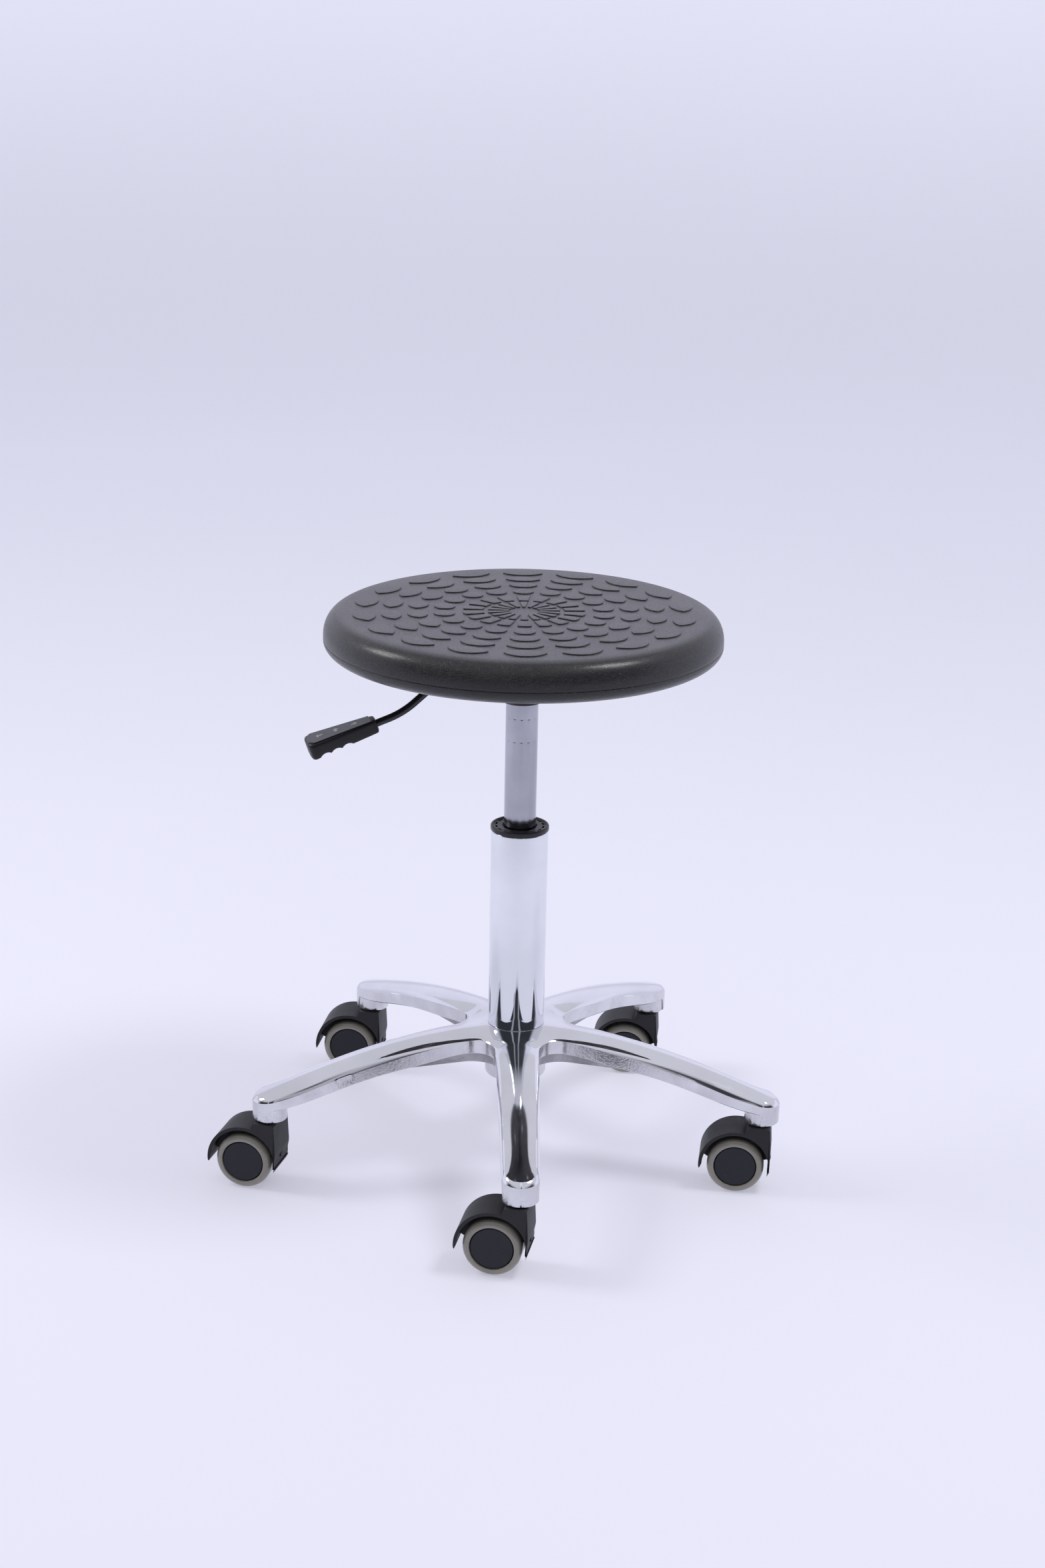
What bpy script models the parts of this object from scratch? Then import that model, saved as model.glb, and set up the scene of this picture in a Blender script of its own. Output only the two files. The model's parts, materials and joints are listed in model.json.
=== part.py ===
"""Adjustable swivel stool: a five-arm cast base on twin-wheel casters, a gas column, a lever-released
valve under the seat and a round moulded seat. Metres, +Z up. Heights in the constants are measured from
the floor; the whole stool hangs from one empty that puts the foot of the column at the origin."""

import math

import bmesh
import bpy
from mathutils import Matrix, Vector

GAP = 0.0003            # clearance between pieces that touch
BORE_FIT = 0.0003       # radial clearance of a shaft in its bore
OVERRUN = 0.010         # how far a cutter runs past the face it opens

# --- base casting -------------------------------------------------------------------------------
ARMS = 5
FIRST_ARM_ANGLE = -88.3                     # degrees, the arm that points to the front
STEM_CIRCLE_RADIUS = 0.2255                 # caster stems from the column axis
ARM_TIP_RADIUS = 0.0158                     # half the width of the rounded tip
ARM_WIDTH_TAPER = 0.0195                    # half-width lost for each metre outwards
VALLEY_RADIUS = 0.020                       # fillet between neighbouring arms
CHAMFER_WIDTH = 0.0028
END_FACE_START = 84.0                       # degrees round the tip where the deep end face begins
END_FACE_RISE = 0.0004                      # end face stops this far above the pad's bottom
BOSS_RADIUS = 0.0146                        # round pad under the tip, around the stem
BOSS_BOTTOM = 0.0632
HUB_TOP = 0.1264                            # where the casting meets the column tube
HUB_RADIUS = 0.027
HUB_BOTTOM = 0.078
RIB_INSET = 0.006                           # how far the under-rib stands in from the arm's side
RIB_REACH = 0.112                           # the under-rib ends this far from the axis
RIB_BOTTOM = 0.0988
RIB_OVERLAP = 0.004                         # how far the rib and the sleeve run up into the arms
CENTRE_SHARE = 0.8                          # the star's inner edge, as a share of the tube's radius
# How far each line of the arm lies below HUB_TOP, against its share of the way to the tip.
CREST_DROP = ((0.10, 0.0000), (0.22, 0.0012), (0.34, 0.0032), (0.46, 0.0072), (0.58, 0.0128),
              (0.70, 0.0197), (0.82, 0.0278), (0.93, 0.0362), (0.975, 0.0400), (1.0, 0.0449))
EDGE_DROP = ((0.10, 0.0026), (0.22, 0.0040), (0.34, 0.0061), (0.46, 0.0104), (0.58, 0.0162),
             (0.70, 0.0233), (0.82, 0.0316), (0.93, 0.0392), (0.975, 0.0424), (1.0, 0.0452))
SIDE_DROP = ((0.10, 0.0040), (0.22, 0.0057), (0.34, 0.0088), (0.46, 0.0140), (0.58, 0.0210),
             (0.70, 0.0286), (0.82, 0.0369), (0.93, 0.0428), (0.975, 0.0438), (1.0, 0.0455))
UNDER_DROP = ((0.10, 0.0168), (0.22, 0.0172), (0.34, 0.0205), (0.46, 0.0260), (0.58, 0.0294),
              (0.70, 0.0378), (0.82, 0.0446), (0.93, 0.0512), (0.975, 0.0524), (1.0, 0.0530))

# --- column ---------------------------------------------------------------------------------------
TUBE_RADIUS = 0.025
TUBE_WALL = 0.0015
TUBE_TOP = 0.3071
TUBE_FOOT_RADIUS = 0.0236                   # the lower end tapers into the hub
TUBE_FOOT_PLATE = 0.003
TUBE_FOOT_RISE = 0.004                      # tube end above the foot of the column
BUSHING_LIP_RADIUS = 0.0255
BUSHING_LIP_HEIGHT = 0.0044
BUSHING_LENGTH = 0.062
CYLINDER_RADIUS = 0.014
CYLINDER_WALL = 0.0018
CYLINDER_TAPER = 0.0007                     # radius lost over the taper in the socket
CYLINDER_HEAD = 0.020                       # solid valve block at the top of the cylinder
STROKE = 0.110                              # seat travel, fully raised to fully lowered
CYLINDER_SPARE = 0.0255                     # room left under the lowered cylinder
ROD_RADIUS = 0.005
ROD_END_RADIUS = 0.004
GLAND_LENGTH = 0.014
PISTON_LENGTH = 0.010
BALLS = 9
BALL_RADIUS = 0.0022
RACE_THICKNESS = 0.002
RACE_RADIUS = 0.013
CUSHION_RING_THICKNESS = 0.006
CLIP_RADIUS = 0.0085
CLIP_THICKNESS = 0.0014
VALVE_RADIUS = 0.0027
VALVE_TRAVEL = 0.0028
VALVE_IN_HEAD = 0.0075                      # length of the button inside the cylinder head
VALVE_SPARE = 0.0017                        # bore left under the pressed button

# --- seat and release -------------------------------------------------------------------------------
SEAT_TOP = 0.503
SEAT_RADIUS = 0.1704
SEAT_THICKNESS = 0.0365
SEAT_UPPER_ROUND = 0.019
SEAT_LOWER_ROUND = 0.010
BOARD_RADIUS = 0.120
BOARD_THICKNESS = 0.012
PLATE_SIDE = 0.150
PLATE_THICKNESS = 0.0027
BOLT_SPACING = 0.120
BOLT_RADIUS = 0.003
BOLT_HEAD_RADIUS = 0.0055
BOLT_HEAD_HEIGHT = 0.004
BOLT_TIP_COVER = 0.002                      # board left above the bolt's end
RELEASE_ANGLE = 14.0                        # degrees the mechanism is turned about the column
SOCKET_DEPTH = 0.0372                       # foot of the mechanism below its top flange
SOCKET_LENGTH = 0.022                       # length of the cylinder's taper in the socket
SOCKET_WALL = 0.0035
SOCKET_LEAD = 0.002                         # straight mouth of the socket, before the taper
SOCKET_LEFT = 0.019                         # lower box of the mechanism, from the axis
SOCKET_RIGHT = 0.030
CHANNEL_LEFT = 0.046                        # upper channel of the mechanism
CHANNEL_RIGHT = 0.036
CHANNEL_DEPTH = 0.0232
MECHANISM_WIDTH = 0.048
SHEET = 0.002
WINDOW_PLAY = 0.0015                        # room round the lever in its window
LEVER_RADIUS = 0.0033
LEVER_DROP = 0.0062                         # lever below the top of the channel
LEVER_PIVOT = 0.036                         # pivot pin from the column axis
LEVER_NOSE = 0.008                          # inner end of the lever, past the column axis
LEVER_FIRST_BEND = 0.0585                   # where the lever turns down, outside the channel
LEVER_SECOND_BEND = (0.1045, 0.0390)        # reach and drop where it turns outwards again
LEVER_BEND = 0.009                          # length of rod used up on each side of a bend
PIVOT_PIN_RADIUS = 0.002
PIN_PROUD = 0.0015                          # how far the pivot pin stands out of each cheek
PIVOT_BLOCK = (0.010, 0.016, 0.009)
HANDLE_START = 0.127
HANDLE_DROP = 0.0475                        # rod at the handle's root below its height at the pivot
HANDLE_LENGTH = 0.062
HANDLE_GRIP_DEPTH = 0.024                   # length of rod inside the handle
HANDLE_PITCH = 18.4                         # degrees the handle slopes down
HANDLE_ROOT = (0.014, 0.0125)               # width and height at the rod end
HANDLE_TIP = (0.027, 0.0160)
HANDLE_ROUND = 0.003

# --- casters ------------------------------------------------------------------------------------------
WHEEL_RADIUS = 0.025
WHEEL_HUB_RADIUS = 0.0185
WHEEL_INNER = 0.003                         # inner face of a wheel from the caster's middle
WHEEL_OUTER = 0.0176
CAP_RECESS = 0.0008
TREAD_ROUND = 0.0048
INNER_ROUND = 0.002
AXLE_RADIUS = 0.003
AXLE_INSET = 0.003                          # axle ends below the wheels' outer faces
CASTER_TRAIL = 0.0202
CASTER_HEADINGS = (169.6, 173.4, 174.4, 171.8, 165.4)   # degrees each caster trails, arm by arm
HOOD_RADIUS = 0.0323
HOOD_WALL = 0.003
HOOD_HALF_WIDTH = 0.018
HOOD_LIFT = 0.0006                          # hood arc centre above the axle
HOOD_LIP = 0.0012                           # how far the shell's lips hang below the axle
WEB_THICKNESS = 0.005
WEB_FOOT = 0.0015                           # lower edge of the web above the axle, beside its boss
WEB_FOOT_REACH = 0.0255
WEB_BOSS_RADIUS = 0.0075
BLOCK_REACH = 0.0104                        # flat front face ahead of the stem axis
BLOCK_CLEARANCE = 0.0005                    # block top below the boss
STEM_RADIUS = 0.0055
STEM_LOWER_RADIUS = 0.0045
STEM_CHAMFER = 0.0008
STEM_IN_BASE = 0.018
STEM_IN_HOOD = 0.0112


def clear_scene():
    for thing in list(bpy.data.objects):
        bpy.data.objects.remove(thing, do_unlink=True)


def collection(name):
    made = bpy.data.collections.new(name)
    bpy.context.scene.collection.children.link(made)
    return made


def material(name, color, roughness, metallic=0.0):
    made = bpy.data.materials.new(name)
    made.use_nodes = True
    shader = made.node_tree.nodes["Principled BSDF"]
    shader.inputs["Base Color"].default_value = (*color, 1.0)
    shader.inputs["Roughness"].default_value = roughness
    shader.inputs["Metallic"].default_value = metallic
    made.diffuse_color = (*color, 1.0)
    return made


def add_mesh(name, mesh, finish, parent, group=None):
    made = bpy.data.objects.new(name, mesh)
    (group or PARTS).objects.link(made)
    if finish:
        mesh.materials.append(finish)
    made.parent = parent
    return made


def add_empty(name, parent, location=(0, 0, 0), turn=0.0):
    made = bpy.data.objects.new(name, None)
    PARTS.objects.link(made)
    made.empty_display_size = 0.02
    made.location = location
    made.rotation_euler.z = math.radians(turn)
    made.parent = parent
    return made


def from_bmesh(name, shape, finish, parent, group=None):
    bmesh.ops.recalc_face_normals(shape, faces=shape.faces)
    mesh = bpy.data.meshes.new(name)
    shape.to_mesh(mesh)
    shape.free()
    return add_mesh(name, mesh, finish, parent, group)


def turned(name, profile, finish, parent, steps, closed=False, group=None):
    """Turns a profile of (radius, height) points about the object's Z axis. The profile runs down its
    outer side; a closed one makes a ring, an open one starts and ends on the axis."""
    count = len(profile)
    edges = [(i, i + 1) for i in range(count - 1)]
    if closed:
        edges.append((count - 1, 0))
    mesh = bpy.data.meshes.new(name)
    mesh.from_pydata([(radius, 0, height) for radius, height in profile], edges, [])
    made = add_mesh(name, mesh, finish, parent, group)
    screw = made.modifiers.new("Turn", "SCREW")
    screw.steps = steps
    screw.render_steps = steps
    screw.use_merge_vertices = True
    screw.merge_threshold = 0.00001
    screw.use_smooth_shade = True
    return made


def arc(center, radius, start, end, count):
    """Points on an arc in the profile plane, both ends included; angles in degrees."""
    angles = [math.radians(start + (end - start) * i / count) for i in range(count + 1)]
    return [(center[0] + radius * math.cos(a), center[1] + radius * math.sin(a)) for a in angles]


def block(name, low, high, finish, parent, group=None):
    """A box between two corners, made from a unit cube."""
    shape = bmesh.new()
    bmesh.ops.create_cube(shape, size=1.0)
    size = Vector(high) - Vector(low)
    bmesh.ops.scale(shape, vec=size, verts=shape.verts)
    bmesh.ops.translate(shape, vec=(Vector(low) + Vector(high)) / 2, verts=shape.verts)
    return from_bmesh(name, shape, finish, parent, group)


def extruded(name, outline, half_depth, finish, parent, group=None):
    """A flat outline in the XZ plane, given depth both ways along Y."""
    shape = bmesh.new()
    face = shape.faces.new([shape.verts.new((x, -half_depth, z)) for x, z in outline])
    grown = bmesh.ops.extrude_face_region(shape, geom=[face])
    moved = [item for item in grown["geom"] if isinstance(item, bmesh.types.BMVert)]
    bmesh.ops.translate(shape, vec=(0, 2 * half_depth, 0), verts=moved)
    return from_bmesh(name, shape, finish, parent, group)


def combine(target, other, operation):
    """Joins or cuts the target with a helper, which stays as a hidden wire in the cutters."""
    other.hide_render = True
    other.display_type = "WIRE"
    boolean = target.modifiers.new(operation.title() + " " + other.name, "BOOLEAN")
    boolean.operation = operation
    boolean.object = other
    boolean.solver = "EXACT"


def rod_cutter(name, radius, low, high, parent, steps=24, at=(0, 0)):
    """A plain round cutter that stands upright at a point."""
    made = turned(name, [(0, high), (radius, high), (radius, low), (0, low)], None, parent, steps,
                  group=CUTTERS)
    made.location = (at[0], at[1], 0)
    return made


def lay_across(target, location):
    """Lays an upright turned piece along Y, at a point."""
    target.rotation_euler.x = math.radians(90)
    target.location = location


def sharpen(target, angle=40.0):
    target.data.shade_smooth()
    target.data.set_sharp_from_angle(angle=math.radians(angle))


def read_curve(table, share):
    """A smooth value between the points of a table, by cubic interpolation of its four neighbours."""
    if share <= table[0][0]:
        return table[0][1]
    last = len(table) - 1
    index = next((i for i in range(last) if share <= table[i + 1][0]), last - 1)
    (x0, y0), (x1, y1) = table[index], table[index + 1]
    before = table[max(index - 1, 0)]
    after = table[min(index + 2, last)]
    slope0 = (y1 - before[1]) / (x1 - before[0])
    slope1 = (after[1] - y0) / (after[0] - x0)
    span = x1 - x0
    t = min((share - x0) / span, 1.0)
    rise = (2 * t**3 - 3 * t**2 + 1) * y0 + (3 * t**2 - 2 * t**3) * y1
    return rise + (t**3 - 2 * t**2 + t) * span * slope0 + (t**3 - t**2) * span * slope1


# --- base -----------------------------------------------------------------------------------------------
ARM_REACH = STEM_CIRCLE_RADIUS + ARM_TIP_RADIUS
HALF_SECTOR = math.pi / ARMS
ARM_ROWS = (0.6, 0.0, -0.6)                 # stations across an arm between its two edges


def arm_half_width(along):
    return ARM_TIP_RADIUS + (STEM_CIRCLE_RADIUS - along) * ARM_WIDTH_TAPER


def arm_outline(fillet_steps, side_steps, tip_steps):
    """One side of an arm in its own plan, from the valley to the tip. Each station is its point, the
    direction that points into the arm there, and whether the end face has begun."""
    side_angle = math.atan(ARM_WIDTH_TAPER)
    reach = (VALLEY_RADIUS / math.cos(side_angle) + arm_half_width(0)) / (
        math.sin(HALF_SECTOR) + math.cos(HALF_SECTOR) * ARM_WIDTH_TAPER)
    center = Vector((reach * math.cos(HALF_SECTOR), reach * math.sin(HALF_SECTOR)))
    start = math.pi + HALF_SECTOR
    end = 1.5 * math.pi - side_angle
    stations = []
    for i in range(fillet_steps + 1):
        angle = start + (end - start) * i / fillet_steps
        inward = Vector((math.cos(angle), math.sin(angle)))
        stations.append((center + VALLEY_RADIUS * inward, inward, False))
    tangent = stations[-1][0]
    for i in range(1, side_steps):
        along = tangent.x + (STEM_CIRCLE_RADIUS - tangent.x) * i / side_steps
        stations.append((Vector((along, arm_half_width(along))), inward, False))
    stations.append((Vector((STEM_CIRCLE_RADIUS, ARM_TIP_RADIUS)), Vector((0, -1)), False))
    for i in range(tip_steps):
        angle = math.radians(END_FACE_START) * (1 - i / tip_steps)
        outward = Vector((math.cos(angle), math.sin(angle)))
        stations.append((Vector((STEM_CIRCLE_RADIUS, 0)) + ARM_TIP_RADIUS * outward, -outward, True))
    return stations


def across_arm(edge, blend):
    """Plan points from one edge of an arm to the other, on an arc about the column where blend is 1."""
    angle = math.atan2(edge.y, edge.x)
    radius = edge.length
    points = []
    for lateral in (1.0, *ARM_ROWS, -1.0):
        round_point = Vector((math.cos(angle * lateral), math.sin(angle * lateral))) * radius
        straight_point = Vector((edge.x, edge.y * lateral))
        points.append((round_point.lerp(straight_point, 1 - blend), lateral))
    return points


def arm_ring(point, inward, at_tip, blend):
    """The closed section of an arm at one station: over the top, then back underneath."""
    share = min(point.length / ARM_REACH, 1.0)
    crest, edge, side, under = (HUB_TOP - read_curve(table, share)
                                for table in (CREST_DROP, EDGE_DROP, SIDE_DROP, UNDER_DROP))
    if at_tip:
        under = BOSS_BOTTOM + END_FACE_RISE
    top = [(p.x, p.y, edge + (crest - edge) * (1 - lateral**2))
           for p, lateral in across_arm(point + inward * CHAMFER_WIDTH, blend)]
    bottom = [(p.x, p.y, under) for p, lateral in across_arm(point, blend)]
    left = (point.x, point.y, side)
    right = (point.x, -point.y, side)
    return [left, *top, right, *reversed(bottom)]


def loft(shape, rings, first_skip=()):
    """Sews a run of closed rings of vertices together, leaving out some sides of the first stretch."""
    for stretch, (first, second) in enumerate(zip(rings, rings[1:])):
        for i in range(len(first)):
            j = (i + 1) % len(first)
            if stretch or i not in first_skip:
                shape.faces.new((first[i], first[j], second[j], second[i]))


def build_star(finish, parent):
    """The five arms and the top of the hub, lofted arm by arm and sewn together along the valleys."""
    fillet_steps = 4
    stations = arm_outline(fillet_steps, 7, 5)
    hub_under = HUB_TOP - read_curve(UNDER_DROP, 0)
    inner_edge = Vector((math.cos(HALF_SECTOR), math.sin(HALF_SECTOR)))
    inner_edge *= TUBE_RADIUS * CENTRE_SHARE
    rows = len(ARM_ROWS) + 2
    last = 2 * rows + 1
    shape = bmesh.new()
    for arm in range(ARMS):
        turn = Matrix.Rotation(math.radians(FIRST_ARM_ANGLE) + 2 * HALF_SECTOR * arm, 4, "Z")
        flat = [(p.x, p.y) for p, lateral in across_arm(inner_edge, 1.0)]
        top = [(x, y, HUB_TOP) for x, y in flat]
        under = [(x, y, hub_under) for x, y in flat]
        rings = [[top[0], *top, top[-1], *reversed(under)]]
        for i, (point, inward, at_tip) in enumerate(stations):
            blend = max(0.0, 1 - i / (fillet_steps + 2))
            rings.append(arm_ring(point, inward, at_tip, blend))
        rings = [[shape.verts.new(turn @ Vector(corner)) for corner in ring] for ring in rings]
        loft(shape, rings, first_skip=(0, rows, rows + 1, last))
        for i in range(1, rows):
            hole = rings[0]
            shape.faces.new((hole[i], hole[last + 1 - i], hole[last - i], hole[i + 1]))
        shape.faces.new(rings[-1])
    bmesh.ops.remove_doubles(shape, verts=shape.verts, dist=0.00002)
    bmesh.ops.triangulate(shape, faces=shape.faces)
    return from_bmesh("base_casting", shape, finish, parent)


def build_base(finish, parent):
    """The casting: arms, under-rib, hub sleeve and tip pads in one piece, bored for tube and stems."""
    star = build_star(finish, parent)
    combine(star, build_rib(parent), "UNION")
    sleeve = rod_cutter("hub_sleeve", HUB_RADIUS, HUB_BOTTOM, HUB_TOP - 1.5 * RIB_OVERLAP, parent, 48)
    combine(star, sleeve, "UNION")
    mouth = TUBE_RADIUS + GAP
    foot = TUBE_FOOT_RADIUS + GAP
    bore = turned("column_bore", [(0, HUB_TOP + OVERRUN), (mouth, HUB_TOP + OVERRUN), (mouth, HUB_TOP),
                                  (foot, HUB_BOTTOM), (foot, HUB_BOTTOM - OVERRUN),
                                  (0, HUB_BOTTOM - OVERRUN)], None, parent, 48, group=CUTTERS)
    combine(star, bore, "DIFFERENCE")
    for number, spot in enumerate(stem_spots(), 1):
        pad_top = BOSS_BOTTOM + STEM_IN_BASE
        pad = rod_cutter(f"pad_{number}", BOSS_RADIUS, BOSS_BOTTOM, pad_top, parent, 28, spot)
        combine(star, pad, "UNION")
        hole = rod_cutter(f"stem_hole_{number}", STEM_RADIUS + BORE_FIT, BOSS_BOTTOM - OVERRUN,
                          pad_top + GAP, parent, 20, spot)
        combine(star, hole, "DIFFERENCE")
    sharpen(star, 35)
    return star


def build_rib(parent):
    """The stepped wall under the arms: the same plan, inset, and cut off short of the tips."""
    outline = []
    stations = [(point, inward) for point, inward, _ in arm_outline(5, 7, 1)]
    side = [point + inward * RIB_INSET for point, inward in stations]
    side = [point for point in side if point.x < RIB_REACH]
    side.append(Vector((RIB_REACH, side[-1].y)))
    for arm in range(ARMS):
        turn = Matrix.Rotation(math.radians(FIRST_ARM_ANGLE) + 2 * HALF_SECTOR * arm, 2)
        for point in [Vector((p.x, -p.y)) for p in side] + list(reversed(side[1:])):
            outline.append(turn @ point)
    shape = bmesh.new()
    face = shape.faces.new([shape.verts.new((p.x, p.y, RIB_BOTTOM)) for p in outline])
    grown = bmesh.ops.extrude_face_region(shape, geom=[face])
    moved = [item for item in grown["geom"] if isinstance(item, bmesh.types.BMVert)]
    for corner in moved:
        share = min(Vector(corner.co[:2]).length / ARM_REACH, 1.0)
        corner.co.z = HUB_TOP - read_curve(SIDE_DROP, share) - RIB_OVERLAP
    bmesh.ops.triangulate(shape, faces=shape.faces)
    return from_bmesh("arm_rib", shape, None, parent, CUTTERS)


def stem_spots():
    angles = [math.radians(FIRST_ARM_ANGLE) + 2 * HALF_SECTOR * arm for arm in range(ARMS)]
    return [(STEM_CIRCLE_RADIUS * math.cos(a), STEM_CIRCLE_RADIUS * math.sin(a)) for a in angles]


# --- column -----------------------------------------------------------------------------------------------
TUBE_BOTTOM = HUB_BOTTOM + TUBE_FOOT_RISE
TUBE_INSIDE = TUBE_RADIUS - TUBE_WALL
LIP_BOTTOM = TUBE_TOP + GAP
LIP_TOP = LIP_BOTTOM + BUSHING_LIP_HEIGHT
RING_BOTTOM = TUBE_BOTTOM + TUBE_FOOT_PLATE + GAP
LOWER_RACE_BOTTOM = RING_BOTTOM + CUSHION_RING_THICKNESS + GAP
BALLS_MIDDLE = LOWER_RACE_BOTTOM + RACE_THICKNESS + GAP + BALL_RADIUS
UPPER_RACE_BOTTOM = BALLS_MIDDLE + BALL_RADIUS + GAP
ROD_SHOULDER = UPPER_RACE_BOTTOM + RACE_THICKNESS + GAP
CYLINDER_BOTTOM = ROD_SHOULDER + CYLINDER_SPARE + STROKE
CYLINDER_INSIDE = CYLINDER_RADIUS - CYLINDER_WALL
GLAND_BOTTOM = CYLINDER_BOTTOM + 0.0005
PISTON_BOTTOM = GLAND_BOTTOM + GLAND_LENGTH + 0.002
BALL_CIRCLE = (RACE_RADIUS + ROD_RADIUS) / 2 + 0.0005
SEAT_BOTTOM = SEAT_TOP - SEAT_THICKNESS
PLATE_TOP = SEAT_BOTTOM - GAP
PLATE_BOTTOM = PLATE_TOP - PLATE_THICKNESS
CHANNEL_TOP = PLATE_BOTTOM - GAP
CHANNEL_BOTTOM = CHANNEL_TOP - CHANNEL_DEPTH
SOCKET_BOTTOM = CHANNEL_TOP - SOCKET_DEPTH
SOCKET_TOP = SOCKET_BOTTOM + SOCKET_LENGTH
LEVER_HEIGHT = CHANNEL_TOP - LEVER_DROP


def build_column(parent, finishes):
    """The fixed tube with its guide bushing, and the cushion and lower race that stand in its foot."""
    inner_foot = TUBE_FOOT_RADIUS - TUBE_WALL
    foot_floor = TUBE_BOTTOM + TUBE_FOOT_PLATE
    rod_hole = ROD_END_RADIUS + BORE_FIT
    profile = [(TUBE_RADIUS, TUBE_TOP), (TUBE_RADIUS, HUB_TOP + GAP), (TUBE_FOOT_RADIUS, TUBE_BOTTOM),
               (rod_hole, TUBE_BOTTOM), (rod_hole, foot_floor), (inner_foot, foot_floor),
               (TUBE_INSIDE, HUB_TOP + GAP), (TUBE_INSIDE, TUBE_TOP)]
    tube = turned("column_tube", profile, finishes["chrome"], parent, 40, closed=True)
    sharpen(tube)
    guide = CYLINDER_RADIUS + BORE_FIT
    sleeve_radius = TUBE_INSIDE - GAP
    sleeve_bottom = LIP_BOTTOM - BUSHING_LENGTH
    lip = [(guide + 0.003, LIP_TOP - 0.0006), (guide + 0.0036, LIP_TOP - 0.0012),
           (BUSHING_LIP_RADIUS - 0.003, LIP_TOP - 0.0012), (BUSHING_LIP_RADIUS - 0.0022, LIP_TOP)]
    lip += arc((BUSHING_LIP_RADIUS - 0.0012, LIP_TOP - 0.0012), 0.0012, 90, 0, 3)
    profile = [(guide, LIP_TOP - 0.0006), *lip, (BUSHING_LIP_RADIUS, LIP_BOTTOM),
               (sleeve_radius, LIP_BOTTOM), (sleeve_radius, sleeve_bottom), (guide, sleeve_bottom)]
    bushing = turned("guide_bushing", profile, finishes["black_plastic"], parent, 30, closed=True)
    sharpen(bushing)
    ring_inside = ROD_END_RADIUS + 0.0006
    build_ring("thrust_cushion", inner_foot - 0.0012, ring_inside, RING_BOTTOM,
               CUSHION_RING_THICKNESS, finishes["rubber"], parent, 24)
    build_ring("lower_race", RACE_RADIUS, ring_inside, LOWER_RACE_BOTTOM, RACE_THICKNESS,
               finishes["steel"], parent, 24)


def build_ring(name, outer, inner, bottom, thickness, finish, parent, steps):
    top = bottom + thickness
    made = turned(name, [(outer, top), (outer, bottom), (inner, bottom), (inner, top)], finish, parent,
                  steps, closed=True)
    sharpen(made)
    return made


def build_spindle(parent, finishes):
    """The piston rod and what turns with it on the thrust bearing."""
    build_ring("upper_race", RACE_RADIUS, ROD_END_RADIUS + BORE_FIT, UPPER_RACE_BOTTOM, RACE_THICKNESS,
               finishes["steel"], parent, 24)
    cage = build_ring("ball_cage", RACE_RADIUS - 0.0008, ROD_END_RADIUS + BORE_FIT,
                      BALLS_MIDDLE - RACE_THICKNESS / 2 + GAP, RACE_THICKNESS - 2 * GAP,
                      finishes["brass"], parent, 24)
    for ball in range(BALLS):
        angle = 2 * math.pi * ball / BALLS
        shape = bmesh.new()
        bmesh.ops.create_uvsphere(shape, u_segments=6, v_segments=4, radius=BALL_RADIUS)
        helper = from_bmesh(f"ball_{ball}", shape, None, parent, CUTTERS)
        helper.location = (BALL_CIRCLE * math.cos(angle), BALL_CIRCLE * math.sin(angle), BALLS_MIDDLE)
        combine(cage, helper, "UNION")
    groove_top = TUBE_BOTTOM - GAP
    groove_bottom = groove_top - CLIP_THICKNESS - GAP
    neck = ROD_END_RADIUS - 0.0008
    piston_top = PISTON_BOTTOM + PISTON_LENGTH
    profile = [(0, piston_top + 0.0012), (ROD_END_RADIUS, piston_top + 0.0012),
               (ROD_END_RADIUS, PISTON_BOTTOM - GAP), (ROD_RADIUS, PISTON_BOTTOM - GAP),
               (ROD_RADIUS, ROD_SHOULDER), (ROD_END_RADIUS, ROD_SHOULDER),
               (ROD_END_RADIUS, groove_top), (neck, groove_top), (neck, groove_bottom),
               (ROD_END_RADIUS, groove_bottom), (ROD_END_RADIUS, HUB_BOTTOM), (0, HUB_BOTTOM)]
    sharpen(turned("piston_rod", profile, finishes["steel"], parent, 16))
    build_ring("rod_clip", CLIP_RADIUS, neck + BORE_FIT, groove_bottom + GAP / 2, CLIP_THICKNESS,
               finishes["steel"], parent, 20)
    build_ring("piston", CYLINDER_INSIDE - GAP, ROD_END_RADIUS + BORE_FIT, PISTON_BOTTOM, PISTON_LENGTH,
               finishes["black_plastic"], parent, 20)


def build_cylinder(parent, finishes):
    """The gas cylinder that rises out of the bushing, its gland, and the valve bore in its head."""
    cavity_top = SOCKET_TOP - CYLINDER_HEAD
    profile = [(0, SOCKET_TOP), (CYLINDER_RADIUS - CYLINDER_TAPER, SOCKET_TOP),
               (CYLINDER_RADIUS, SOCKET_BOTTOM + SOCKET_LEAD), (CYLINDER_RADIUS, CYLINDER_BOTTOM),
               (CYLINDER_INSIDE, CYLINDER_BOTTOM), (CYLINDER_INSIDE, cavity_top), (0, cavity_top)]
    cylinder = turned("gas_cylinder", profile, finishes["satin_steel"], parent, 40)
    bore_bottom = SOCKET_TOP - VALVE_IN_HEAD - VALVE_TRAVEL - VALVE_SPARE
    valve_bore = rod_cutter("valve_bore", VALVE_RADIUS + BORE_FIT, bore_bottom, SOCKET_TOP + OVERRUN,
                            parent, 16)
    combine(cylinder, valve_bore, "DIFFERENCE")
    sharpen(cylinder)
    build_ring("rod_gland", CYLINDER_INSIDE - GAP, ROD_RADIUS + BORE_FIT, GLAND_BOTTOM, GLAND_LENGTH,
               finishes["black_plastic"], parent, 20)


# --- seat -----------------------------------------------------------------------------------------------


def bolt_spots():
    half = BOLT_SPACING / 2
    return [(half, half), (-half, half), (-half, -half), (half, -half)]


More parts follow.
